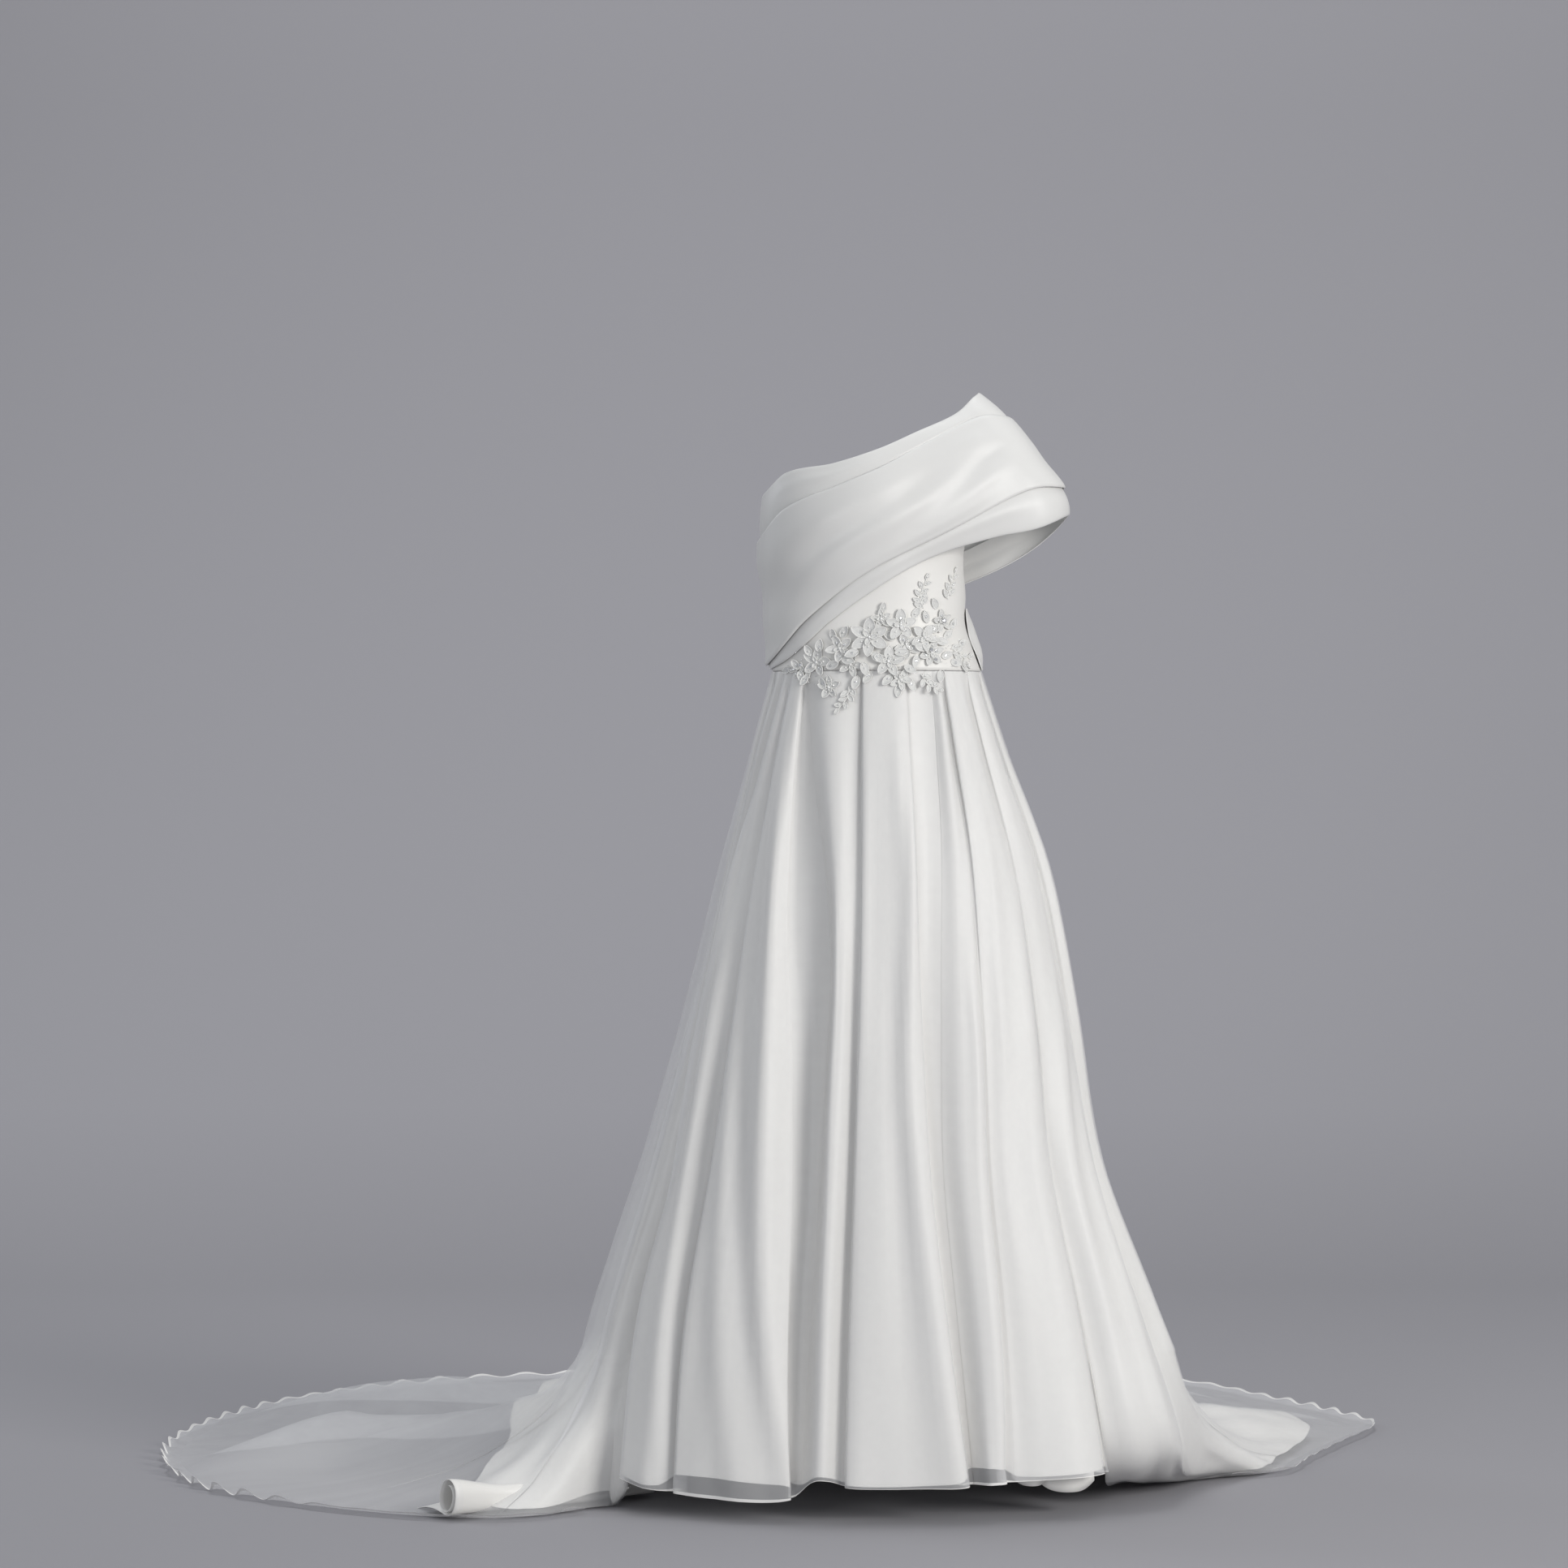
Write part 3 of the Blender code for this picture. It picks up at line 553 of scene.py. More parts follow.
coil_nylon = finish(
    "coil_nylon",
    (0.78, 0.77, 0.74, 1.0),
    lambda start: start.make("TexNoise", None, {"Scale": 600.0}) * 0.1 + 0.3,
)
points, faces = [], []
for tooth in range(int((ZIP_TOP - FIRST_TOOTH) / TOOTH_PITCH)):
    rise = FIRST_TOOTH + tooth * TOOTH_PITCH
    lean = TOOTH_STAGGER * (1 if tooth % 2 else -1)
    middle = torso_point(180.0, rise, -ZIP_INSIDE - TOOTH_INSIDE) + Vector((lean, 0.0, 0.0))
    first = len(points)
    for across, thick in TOOTH_PROFILE:
        for n in range(TOOTH_SIDES):
            turn = 2.0 * math.pi * n / TOOTH_SIDES
            reach = TOOTH_RADIUS * thick
            points.append(middle + Vector((across, reach * math.cos(turn), reach * math.sin(turn))))
    for ring in range(first, len(points) - TOOTH_SIDES, TOOTH_SIDES):
        for n in range(TOOTH_SIDES):
            after = (n + 1) % TOOTH_SIDES
            faces.append((ring + n, ring + after, ring + TOOTH_SIDES + after, ring + TOOTH_SIDES + n))
    faces.append(tuple(reversed(range(first, first + TOOTH_SIDES))))
    faces.append(tuple(range(len(points) - TOOTH_SIDES, len(points))))
teeth_mesh = bpy.data.meshes.new("zip_teeth")
teeth_mesh.from_pydata(points, [], faces)
teeth_mesh.materials.append(coil_nylon)
teeth = bpy.data.objects.new("zip_teeth", teeth_mesh)
bpy.context.scene.collection.objects.link(teeth)
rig.ride(teeth, "root")
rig.slot(teeth, "zip")


# Drape: three bands of folded satin laid diagonally from the left side seam up to the right shoulder.
# The wide band laps over both neighbours with soft rolled edges; all pass round the arm to the back.

# The drape's tones are the satin's, painted a shade darker as painted shade on the drape.
DRAPE_SHADED_WHITE = (0.715, 0.712, 0.702, 1.0)
DRAPE_SHADED_DEEP = (0.680, 0.675, 0.660, 1.0)
Sleeve = namedtuple("Sleeve", "rise outer radius")
SLEEVE_RINGS = (
    Sleeve(0.060, 0.128, 0.040),
    Sleeve(0.100, 0.160, 0.052),
    Sleeve(0.146, 0.216, 0.060),
    Sleeve(0.175, 0.242, 0.064),
    Sleeve(0.209, 0.254, 0.066),
    Sleeve(0.245, 0.243, 0.064),
    Sleeve(0.282, 0.2115, 0.060),
    Sleeve(0.307, 0.194, 0.055),
    Sleeve(0.340, 0.169, 0.044),
    Sleeve(0.373, 0.134, 0.022),
)
HULL_STEPS = 56
HULL_OUT = 0.005

# The bands' edges, front and back: their height at each share of the way from the left to the right.
LINE_SHARES = (0.0, 0.08, 0.25, 0.42, 0.60, 0.77, 0.90, 1.0)
Line = namedtuple("Line", "front back")
LINES = {
    "top": Line(
        (0.236, 0.262, 0.273, 0.2915, 0.317, 0.340, 0.361, 0.3725),
        (0.236, 0.246, 0.262, 0.282, 0.306, 0.332, 0.357, 0.3725),
    ),
    "upper": Line(
        (0.174, 0.214, 0.243, 0.269, 0.300, 0.3265, 0.340, 0.3400),
        (0.174, 0.194, 0.220, 0.245, 0.272, 0.302, 0.326, 0.3400),
    ),
    "lower": Line(
        (0.008, 0.036, 0.088, 0.137, 0.181, 0.2215, 0.242, 0.2450),
        (0.008, 0.026, 0.058, 0.092, 0.128, 0.168, 0.210, 0.2450),
    ),
    "bottom": Line(
        (0.003, 0.016, 0.056, 0.100, 0.150, 0.176, 0.1885, 0.2085),
        (0.003, 0.012, 0.030, 0.056, 0.082, 0.112, 0.148, 0.2085),
    ),
}
DRAPE_WALL = 0.0012
DRAPE_COLUMNS = 150
ROLL = 0.0045
SLOPE_REACH = 0.004
UNEVEN = 0.0020
Band = namedtuple("Band", "name above below over under out head foot bulge steps")
BANDS = (
    Band("top", "top", "upper", 0.0, 0.012, 0.0036, 0.0022, 0.0014, 0.0026, 34),
    Band("main", "upper", "lower", 0.0, 0.0, 0.0104, 0.0076, 0.0076, 0.0034, 90),
    Band("lower", "lower", "bottom", 0.014, 0.0, 0.0040, 0.0040, 0.0022, 0.0012, 34),
)

# Soft folds along the bands: where each starts and ends by shares across and down, height and half width.
Soft = namedtuple("Soft", "band share1 down1 share2 down2 height width")
SOFT_FOLDS = (
    Soft("main", 0.02, 0.30, 0.52, 0.14, 0.0034, 0.115),
    Soft("main", 0.22, 0.64, 0.76, 0.36, 0.0046, 0.135),
    Soft("main", 0.05, 0.58, 0.36, 0.40, -0.0030, 0.100),
    Soft("main", 0.50, 0.78, 0.92, 0.58, 0.0032, 0.105),
    Soft("main", 0.55, 0.20, 0.98, 0.24, 0.0026, 0.110),
    Soft("main", 0.34, 0.90, 0.70, 0.84, 0.0016, 0.070),
    Soft("main", 0.66, 0.52, 0.96, 0.40, -0.0026, 0.085),
    Soft("top", 0.04, 0.30, 0.44, 0.38, 0.0018, 0.120),
    Soft("top", 0.40, 0.62, 0.88, 0.42, 0.0016, 0.120),
    Soft("lower", 0.20, 0.60, 0.62, 0.50, 0.0012, 0.160),
    Soft("lower", 0.66, 0.40, 0.94, 0.50, 0.0014, 0.160),
)


def cross(a, b, c):
    return (b[0] - a[0]) * (c[1] - a[1]) - (b[1] - a[1]) * (c[0] - a[0])


def hull(rise, out, facing):
    """Points of the tight line round torso and sleeve at a height, from left to right, on one side."""
    ring = torso_at(rise)
    deep = (ring.front if facing < 0 else ring.back) + out
    outer = column(SLEEVE_RINGS, "rise", "outer", rise) + out
    radius = column(SLEEVE_RINGS, "rise", "radius", rise) + out
    points = []
    for k in range(HULL_STEPS + 1):
        turn = math.pi * k / HULL_STEPS
        points.append((ring.middle - (ring.wide + out) * math.cos(turn), deep * math.sin(turn)))
        points.append((outer - radius - radius * math.cos(turn), radius * math.sin(turn)))
    tight = []
    for point in sorted(points):
        while len(tight) > 1 and cross(tight[-2], tight[-1], point) >= 0:
            tight.pop()
        tight.append(point)
    return tight


def depth_on(tight, x):
    """How far out the line is at X, from the plane through the sides."""
    k = bisect.bisect_right(tight, (x, 9.0))
    if 0 < k < len(tight):
        (x1, y1), (x2, y2) = tight[k - 1], tight[k]
        return mix(y1, y2, (x - x1) / (x2 - x1))
    return 0.0


def soft_height(band, share, down):
    height = 0.0
    for fold in SOFT_FOLDS:
        if fold.band != band:
            continue
        run = Vector((fold.share2 - fold.share1, fold.down2 - fold.down1))
        place = Vector((share - fold.share1, down - fold.down1))
        part = max(0.0, min(1.0, place.dot(run) / run.length_squared))
        away = (place - run * part).length
        ends = math.sin(math.pi * mix(0.15, 0.85, part))
        height += fold.height * math.exp(-((away / fold.width) ** 2)) * ends
    return height


def rolled(band, down, height):
    """How far out a band lies at a share of the way down, with its two edges rolled in."""
    near_top = min(1.0, down * height / ROLL)
    near_foot = min(1.0, (1.0 - down) * height / ROLL)
    full = band.out + band.bulge * math.sin(math.pi * down)
    top = math.sqrt(1.0 - (1.0 - near_top) ** 2)
    foot = math.sqrt(1.0 - (1.0 - near_foot) ** 2)
    return band.head + (full - band.head) * top - (full - band.foot) * (1.0 - foot)


def edge_steps(count):
    """Steps down a band, close together near both edges where the cloth rolls in."""
    return [mix(t, (1.0 - math.cos(math.pi * t)) / 2.0, 0.85) for t in steps(count)]


hulls = {}


def drape_point(band, facing, share, down, top, low):
    """A point of a band at its shares across and down, laid on the tight line round torso and sleeve."""
    rise = mix(top, low, down)
    key = (round(rise, 4), facing)
    if key not in hulls:
        hulls[key] = hull(key[0], HULL_OUT, facing)
    tight = hulls[key]
    ends = min(1.0, 5.0 * share, 5.0 * (1.0 - share))
    wave = soft_height(band.name, share, down) * ends
    wave += UNEVEN * noise.noise(Vector((share * 4.2, down * 1.3, facing * 4.0))) * ends
    x = mix(tight[0][0], tight[-1][0], share)
    slope = Vector((depth_on(tight, x - SLOPE_REACH) - depth_on(tight, x + SLOPE_REACH), 2.0 * SLOPE_REACH))
    if 0.02 < share < 0.98:
        slope.normalize()
    else:
        slope = Vector((1.0 if share > 0.5 else -1.0, 0.0))
    lift = rolled(band, down, top - low) - HULL_OUT + wave
    return Vector((x + slope.x * lift, facing * max(depth_on(tight, x) + slope.y * lift, 0.0), rise))


def drape_shaded_colour(start):
    """The same satin painted a shade deeper: painted shade that dims the bias-cut, folded drape under the strong
    light.
    """
    return satin_cloud(start).blend(DRAPE_SHADED_WHITE, DRAPE_SHADED_DEEP)


# Drape satin with painted shade: a darker copy of the ivory satin.
drape_satin = satin_finish("drape_satin", drape_shaded_colour)
across_shares = [(1.0 - math.cos(math.pi * t)) / 2.0 for t in steps(DRAPE_COLUMNS)]
for side, facing in (("front", -1), ("back", 1)):
    order = across_shares if side == "front" else across_shares[::-1]
    for band in BANDS:
        above, below = (getattr(LINES[line], side) for line in (band.above, band.below))
        rows = []
        for down in edge_steps(band.steps):
            row = []
            for share in order:
                top = smooth(LINE_SHARES, above, share) + band.over
                low = smooth(LINE_SHARES, below, share) - band.under
                row.append(drape_point(band, facing, share, down, top, low))
            rows.append(row)
        name = side + "_" + band.name
        piece = cloth("band_" + name, rows, [drape_satin], ["drape_" + name], "satin", wall=DRAPE_WALL)
        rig.sheet(piece, held="draped", rests_on=["bodice_panel_front"], **cut(rows))


# Sash: a folded satin band under the back drape, from the right side seam to the left of the back.
# It puffs out at the right side of the waist and is caught flat where it ends.

SASH_FIRST = 82
SASH_LAST = 210
SASH_BELOW_DRAPE = 0.008
SASH_LEAST_TOP = 0.012
SASH_BOTTOM = 0.002
SASH_ROWS = 20
SASH_COLUMNS = 59
SASH_OUT = 0.0018
SASH_PUFF = 0.015
SASH_RIPPLE = 0.0012

left = hull(0.0, 0.0, 1)[0][0]
right = hull(LINES["bottom"].back[-1], 0.0, 1)[-1][0]
rows = []
for step in steps(SASH_ROWS):
    line = []
    for along in steps(SASH_COLUMNS):
        angle = mix(SASH_FIRST, SASH_LAST, along)
        share = (torso_point(angle, 0.05).x - left) / (right - left)
        top = smooth(LINE_SHARES, LINES["bottom"].back, share) - SASH_BELOW_DRAPE
        rise = mix(max(top, SASH_LEAST_TOP), SASH_BOTTOM, step)
        full = SASH_PUFF * math.sin(math.pi * step) * math.exp(-3.0 * along) * ease(0.0, 0.11, along)
        full += SASH_RIPPLE * math.sin(9.0 * step + 3.0 * along) * math.sin(math.pi * step)
        line.append(torso_point(angle, rise, BODICE_WALL + SASH_OUT + full))
    rows.append(line)
# The sash takes the drape's satin with its painted shade.
sash = cloth("waist_sash", rows, [drape_satin], ["back_sash"], "satin", wall=DRAPE_WALL)
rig.sheet(sash, held="folded", rests_on=["bodice_panel_back_right"], **cut(rows))


# Skirt: seven satin gores, laid in knife pleats at the waist that open into long soft folds.
# The front three end in a plain hem above the floor; the others run on into the train.

WAIST_HEIGHT = 1.10
Ring = namedtuple("Ring", "drop left right front back")
SKIRT_RINGS = (
    Ring(0.00, 0.1392, 0.1392, 0.1036, 0.0982),
    Ring(0.10, 0.1650, 0.1720, 0.126, 0.132),
    Ring(0.25, 0.1990, 0.2220, 0.154, 0.185),
    Ring(0.45, 0.2480, 0.2630, 0.188, 0.268),
    Ring(0.65, 0.3060, 0.2970, 0.218, 0.360),
    Ring(0.85, 0.3740, 0.3730, 0.242, 0.455),
    Ring(1.05, 0.4250, 0.4550, 0.262, 0.560),
)

# Pleats round the waist, from the left of the front by the right to the left of the back. At each drop:
# the angles of both edges, the depth, and which neighbour laps over it, -1 for the left and 1 for the right.
FOLD_DROPS = (0.0, 0.30, 0.60, 1.05)
Fold = namedtuple("Fold", "name left right depth over")
FOLDS = (
    Fold("left_front_edge", (-64, -73, -68, -56), (-61, -70, -65, -53),
         (0.002, 0.010, 0.022, 0.034), (0.5, 0.8, 1, 1)),
    Fold("left_groove", (-55, -56, -50, -41), (-53, -53, -47, -39),
         (0.001, 0.007, 0.022, 0.030), (1, 1, 1, 1)),
    Fold("left_pleat", (-45, -36, -24, -16), (-42, -19, -15, -14),
         (0.002, 0.027, 0.044, 0.042), (-1, -0.3, 0.2, -0.8)),
    Fold("centre_pleat", (-10, -9, -8, -8), (-8, -6, -6, -6),
         (0.002, 0.010, 0.020, 0.028), (1, 1, 1, 0.8)),
    Fold("right_pleat", (15, 12, 12.5, 14.5), (31, 21, 17.5, 16),
         (0.002, 0.013, 0.030, 0.038), (-0.6, -0.9, -1, -1)),
    Fold("right_groove", (37, 31, 29, 21), (39, 33, 31, 23),
         (0.002, 0.007, 0.014, 0.020), (0.9, 0.5, -0.8, -0.9)),
    Fold("right_front_edge", (56, 53, 51, 41), (59, 55, 53, 43),
         (0.002, 0.009, 0.018, 0.028), (0.4, -0.2, -0.5, -0.8)),
    Fold("right_side", (74, 76, 74, 66), (77, 79, 77, 68),
         (0.002, 0.009, 0.016, 0.024), (0.8, 0.5, -0.3, -0.5)),
    Fold("right_hip", (93, 96, 96, 92), (96, 99, 99, 95),
         (0.002, 0.010, 0.018, 0.026), (0.9, 0.6, 0.2, 0.4)),
    Fold("right_back", (112, 118, 119, 117), (115, 121, 122, 120),
         (0.002, 0.012, 0.022, 0.030), (1, 0.7, 0.3, -0.2)),
    Fold("right_train", (134, 138, 138, 138), (137, 141, 142, 142),
         (0.002, 0.010, 0.020, 0.032), (1, 0.5, -0.1, 0.3)),
    Fold("right_middle", (156, 158, 159, 159), (159, 161, 162, 162),
         (0.002, 0.012, 0.024, 0.034), (1, 0.8, 0.4, 0.1)),
    Fold("middle_back", (179, 179, 179, 179), (182, 182, 182, 182),
         (0.002, 0.010, 0.020, 0.030), (0.6, 0, 0, 0)),
    Fold("left_middle", (201, 199, 199, 199), (204, 202, 202, 202),
         (0.002, 0.012, 0.022, 0.034), (-1, -0.8, -0.4, 0)),
    Fold("left_train", (223, 220, 220, 220), (226, 223, 224, 224),
         (0.002, 0.010, 0.022, 0.030), (-1, -0.6, 0.1, -0.3)),
    Fold("left_back", (245, 242, 241, 243), (248, 245, 244, 246),
         (0.002, 0.012, 0.020, 0.030), (-1, -0.7, -0.3, 0.1)),
    Fold("left_hip", (266, 263, 262, 264), (269, 266, 265, 267),
         (0.002, 0.010, 0.018, 0.026), (-0.9, -0.5, -0.2, -0.4)),
    Fold("left_side", (283, 277, 280, 285), (286, 279, 282, 287),
         (0.002, 0.008, 0.014, 0.022), (-0.8, -0.4, 0.4, 0.8)),
)
LEFT_FRONT_EDGE, RIGHT_FRONT_EDGE = FOLDS[0], FOLDS[6]
FLUTE_COLUMNS = 16
FOLD_FLOOR = (0.05, 0.22, 0.40, 0.58, 0.78, 0.95)
UNDERLAP = 1.7
UNDERLAP_FULL_DEPTH = 0.02
CROWN = 0.14
CROWN_POWER = 2.4
PRESSED = 0.007
SKIRT_TOP_DROP = 0.0003
TRAIN_START_DROP = 0.90
UPPER_DROPS = [mix(SKIRT_TOP_DROP, TRAIN_START_DROP, t ** 1.35) for t in steps(46)]
FRONT_LOW_ROWS = 14

# Hems of the front by angle: how far the organza hangs below the satin, and the satin's height off the floor.
HEM_BAND_ANGLES = (-56, -43, -39, -18, -13, 13, 16, 21, 24, 43)
HEM_BANDS = (0.006, 0.006, 0.024, 0.022, 0.006, 0.006, 0.020, 0.018, 0.006, 0.006)
HEM_BAND_SHARES = (0.75, 0.5, 0.28, 0.16, 0.0)
HEM_ANGLES = (-56, -45, -28, -16, -11, -6, 10, 20, 43)
HEM_HEIGHTS = (0.050, 0.036, 0.028, 0.030, 0.056, 0.047, 0.046, 0.050, 0.056)

# Smaller folds between the pleats: the angle where each runs at the waist and at the hem, the drops
# where it starts and ends, its height outwards and its half width in degrees.
Crease = namedtuple("Crease", "top foot start end height width")
CREASES = (
    Crease(-74, -42, 0.25, 1.10, 0.010, 2.6),
    Crease(-64.8, -26.4, 0.42, 1.10, 0.007, 2.4),
    Crease(-65, -18.5, 0.32, 1.10, -0.004, 2.8),
    Crease(-50.6, -16, 0.06, 1.10, 0.009, 3.0),
    Crease(-17, -9.5, 0.15, 1.10, 0.003, 1.4),
    Crease(-5, -4, 0.02, 0.50, 0.003, 2.0),
    Crease(8.5, 4, 0.00, 0.22, 0.005, 2.2),
    Crease(15.5, -1, 0.06, 0.52, 0.008, 3.0),
    Crease(3, 12.7, 0.42, 1.10, 0.009, 3.0),
    Crease(3, 5.5, 0.30, 1.10, -0.004, 2.6),
    Crease(36, 20, 0.10, 1.10, 0.005, 2.2),
    Crease(46, 27, 0.10, 1.05, 0.003, 1.6),
    Crease(58, 36, 0.20, 1.10, 0.006, 3.5),
    Crease(63, 47, 0.45, 1.10, -0.004, 1.6),
    Crease(80, 46, 0.30, 1.10, 0.006, 2.4),
    Crease(88, 58, 0.40, 1.10, 0.007, 2.2),
    Crease(84, 78, 0.08, 1.00, 0.008, 2.6),
    Crease(88, 86, 0.35, 1.10, -0.006, 2.0),
    Crease(104, 104, 0.10, 0.90, 0.010, 3.0),
    Crease(126, 127, 0.05, 1.00, 0.010, 3.4),
    Crease(147, 149, 0.20, 1.10, 0.010, 2.8),
    Crease(168, 170, 0.10, 0.95, 0.011, 3.2),
    Crease(191, 190, 0.05, 1.05, 0.011, 3.2),
    Crease(213, 211, 0.18, 1.10, 0.010, 3.0),
    Crease(235, 233, 0.05, 0.90, 0.010, 3.0),
    Crease(257, 254, 0.15, 1.10, 0.010, 2.8),
    Crease(275, 272, 0.08, 1.00, 0.008, 2.4),
    Crease(281, 277, 0.35, 1.10, 0.007, 2.0),
    Crease(291, 294, 0.10, 1.10, 0.008, 2.4),
    Crease(295, 299, 0.40, 1.10, -0.006, 1.8),
)


def outline(angle, drop):
    """A point of the skirt's ring at an angle in degrees, and the way out of it."""
    turn = math.radians(angle)
    wide = column(SKIRT_RINGS, "drop", "right" if math.sin(turn) > 0 else "left", drop)
    deep = column(SKIRT_RINGS, "drop", "front" if math.cos(turn) > 0 else "back", drop)
    point = Vector((wide * math.sin(turn), -deep * math.cos(turn), -drop))
    out = Vector((math.sin(turn) / wide, -math.cos(turn) / deep, 0.0)).normalized()
    return point, out


def crease_height(angle, drop):
    """How far the small folds stand out of the ring at an angle and a drop."""
    height = 0.0
    for crease in CREASES:
        place = mix(crease.top, crease.foot, min(1.0, drop / FOLD_DROPS[-1]))
        away = (angle - place + 180.0) % 360.0 - 180.0
        if abs(away) > 3.0 * crease.width:
            continue
        ends = ease(crease.start, crease.start + 0.22, drop)
        ends *= 1.0 - ease(crease.end - 0.10, crease.end + 0.12, drop)
        height += crease.height * ends * math.exp(-((away / crease.width) ** 2))
    turn = math.radians(angle)
    place = Vector((3.2 * math.sin(turn), 3.2 * math.cos(turn), drop * 1.6))
    ripple = Vector((9.0 * math.sin(turn), 9.0 * math.cos(turn), drop * 2.2 + 7.0))
    height += (0.0010 + 0.0060 * drop) * noise.noise(place)
    return height + (0.0004 + 0.0032 * drop) * noise.noise(ripple)


def fold_depth(fold, drop):
    """A fold's depth. Just below the waist the pleats are pressed deeper than the table's rows say."""
    pressed = PRESSED * ease(0.0, 0.035, drop) * (1.0 - ease(0.10, 0.32, drop))
    return smooth(FOLD_DROPS, fold.depth, drop) + pressed


def laps(fold, drop):
    """How far the panel on a fold's left laps over it, from 0 to 1, and the same for the one on its right."""
    over = smooth(FOLD_DROPS, fold.over, drop)
    return max(0.0, min(1.0, -over)), max(0.0, min(1.0, over))


def shoulder(lapped, other):
    """The share of a fold's depth at which the panel beside it starts: hardly any where it laps over."""
    return mix(0.45 + 0.22 * other, 0.05, lapped)


def flute_columns(first, last, drop):
    """(angle, depth below the ring, angle before any underlap) of each column, from one fold's right edge
    to another's right edge."""
    columns = []
    for number in range(first, last):
        here, after = FOLDS[number % len(FOLDS)], FOLDS[(number + 1) % len(FOLDS)]
        turn = 360.0 * ((number + 1) // len(FOLDS))
        start = smooth(FOLD_DROPS, here.right, drop) + 360.0 * (number // len(FOLDS))
        end = smooth(FOLD_DROPS, after.left, drop) + turn
        last_edge = smooth(FOLD_DROPS, after.right, drop) + turn
        deep, next_deep = fold_depth(here, drop), fold_depth(after, drop)
        (left, right), (next_left, next_right) = laps(here, drop), laps(after, drop)
        reach = 0.30 + 0.20 * left - 0.24 * right
        next_reach = 0.30 + 0.15 * next_right - 0.24 * next_left
        for k in range(FLUTE_COLUMNS + 1):
            step = (1.0 - math.cos(math.pi * k / FLUTE_COLUMNS)) / 2.0
            crown = 1.0 - math.sqrt(max(0.0, 1.0 - abs(2.0 * step - 1.0) ** CROWN_POWER))
            depth = deep * shoulder(right, left) * (1.0 - ease(0.0, reach, step))
            depth += next_deep * shoulder(next_left, next_right) * ease(1.0 - next_reach, 1.0, step)
            depth += CROWN * mix(deep, next_deep, step) * crown
            angle = mix(start, end, step)
            columns.append((angle, depth, angle))
        under = UNDERLAP * min(1.0, next_deep / UNDERLAP_FULL_DEPTH)
        low = mix(shoulder(0.0, next_right) + CROWN, 1.0, next_left)
        next_low = mix(shoulder(0.0, next_left) + CROWN, 1.0, next_right)
        for part in FOLD_FLOOR:
            level = mix(low, next_low, part)
            depth = next_deep * (level + (1.0 - level) * math.sin(math.pi * part))
            angle = mix(end - under * next_left, last_edge + under * next_right, part)
            columns.append((angle, depth, mix(end, last_edge, part)))
    columns.append((last_edge, next_deep * (shoulder(next_right, next_left) + CROWN), last_edge))
    return columns


# How far the satin hangs in behind the organza round one angle at the left side: drops, and metres.
SATIN_BEHIND = ((0.10, 0.35, 0.60, 0.85, 1.05), (0.0, 0.012, 0.022, 0.026, 0.020))
SATIN_BEHIND_ANGLE = -88.0
SATIN_BEHIND_WIDTH = 20.0


def hung_in(angle, drop):
    """The satin at the left side hangs steeper than the organza, which shows against the light there."""
    away = (angle - SATIN_BEHIND_ANGLE + 180.0) % 360.0 - 180.0
    return smooth(*SATIN_BEHIND, drop) * math.exp(-((away / SATIN_BEHIND_WIDTH) ** 2))


def skirt_row(first, last, drop, sink):
    """A layer's points at a drop. The satin sinks into the whole depth of the folds, the organza less."""
    row = []
    for angle, depth, _ in flute_columns(first, last, drop):
        point, out = outline(angle, drop)
        small = crease_height(angle, drop) * ease(0.0, 0.06, drop)
        small -= hung_in(angle, drop) * (sink == 1.0)
        row.append(point + out * (small - depth * sink))
    return row


# Where the train's edge lies on the floor for each angle at the waist, and how far out the satin reaches.
Edge = namedtuple("Edge", "angle x y satin_share")
TRAIN_EDGE = (
    Edge(43, 0.305, 0.120, 0.90),
    Edge(56, 0.385, 0.140, 0.90),
    Edge(70, 0.480, 0.168, 0.90),
    Edge(84, 0.565, 0.215, 0.88),
    Edge(96, 0.605, 0.320, 0.86),
    Edge(108, 0.668, 0.470, 0.84),
    Edge(120, 0.735, 0.640, 0.78),
    Edge(131, 0.700, 0.760, 0.74),
    Edge(142, 0.610, 0.930, 0.70),
    Edge(154, 0.490, 1.120, 0.66),
    Edge(167, 0.270, 1.230, 0.62),
    Edge(180, -0.020, 1.270, 0.58),
    Edge(194, -0.400, 1.220, 0.52),
    Edge(205, -0.680, 1.110, 0.46),
    Edge(215, -0.855, 0.930, 0.40),
    Edge(224, -0.955, 0.710, 0.34),
    Edge(233, -1.000, 0.480, 0.29),
    Edge(242, -0.985, 0.260, 0.25),
    Edge(251, -0.925, 0.070, 0.24),
    Edge(260, -0.820, -0.065, 0.29),
    Edge(269, -0.695, -0.165, 0.46),
    Edge(279, -0.575, -0.222, 0.80),
    Edge(290, -0.470, -0.215, 0.92),
    Edge(299, -0.385, -0.115, 0.88),
    Edge(307, -0.325, -0.010, 0.88),
)
Ridge = namedtuple("Ridge", "x1 y1 x2 y2 height width")
TRAIN_RIDGES = (
    Ridge(-0.93, 0.20, -0.74, 0.27, 0.058, 0.085),
    Ridge(-0.74, 0.27, -0.50, 0.17, 0.050, 0.085),
    Ridge(-0.86, 0.72, -0.62, 0.66, 0.064, 0.120),
    Ridge(-0.62, 0.66, -0.40, 0.56, 0.056, 0.100),
    Ridge(-0.36, 0.95, -0.18, 0.70, 0.032, 0.10),
    Ridge(0.16, 1.02, 0.12, 0.72, 0.030, 0.10),
    Ridge(0.44, 0.86, 0.36, 0.58, 0.030, 0.09),
    Ridge(0.62, 0.62, 0.50, 0.42, 0.028, 0.07),
)
BILLOW = 0.008
FLOOR_RIPPLE = 0.010
KNEE_FALL = 8.5
KNEE_STEEP = 4.4
KNEE_HANGS = 0.65
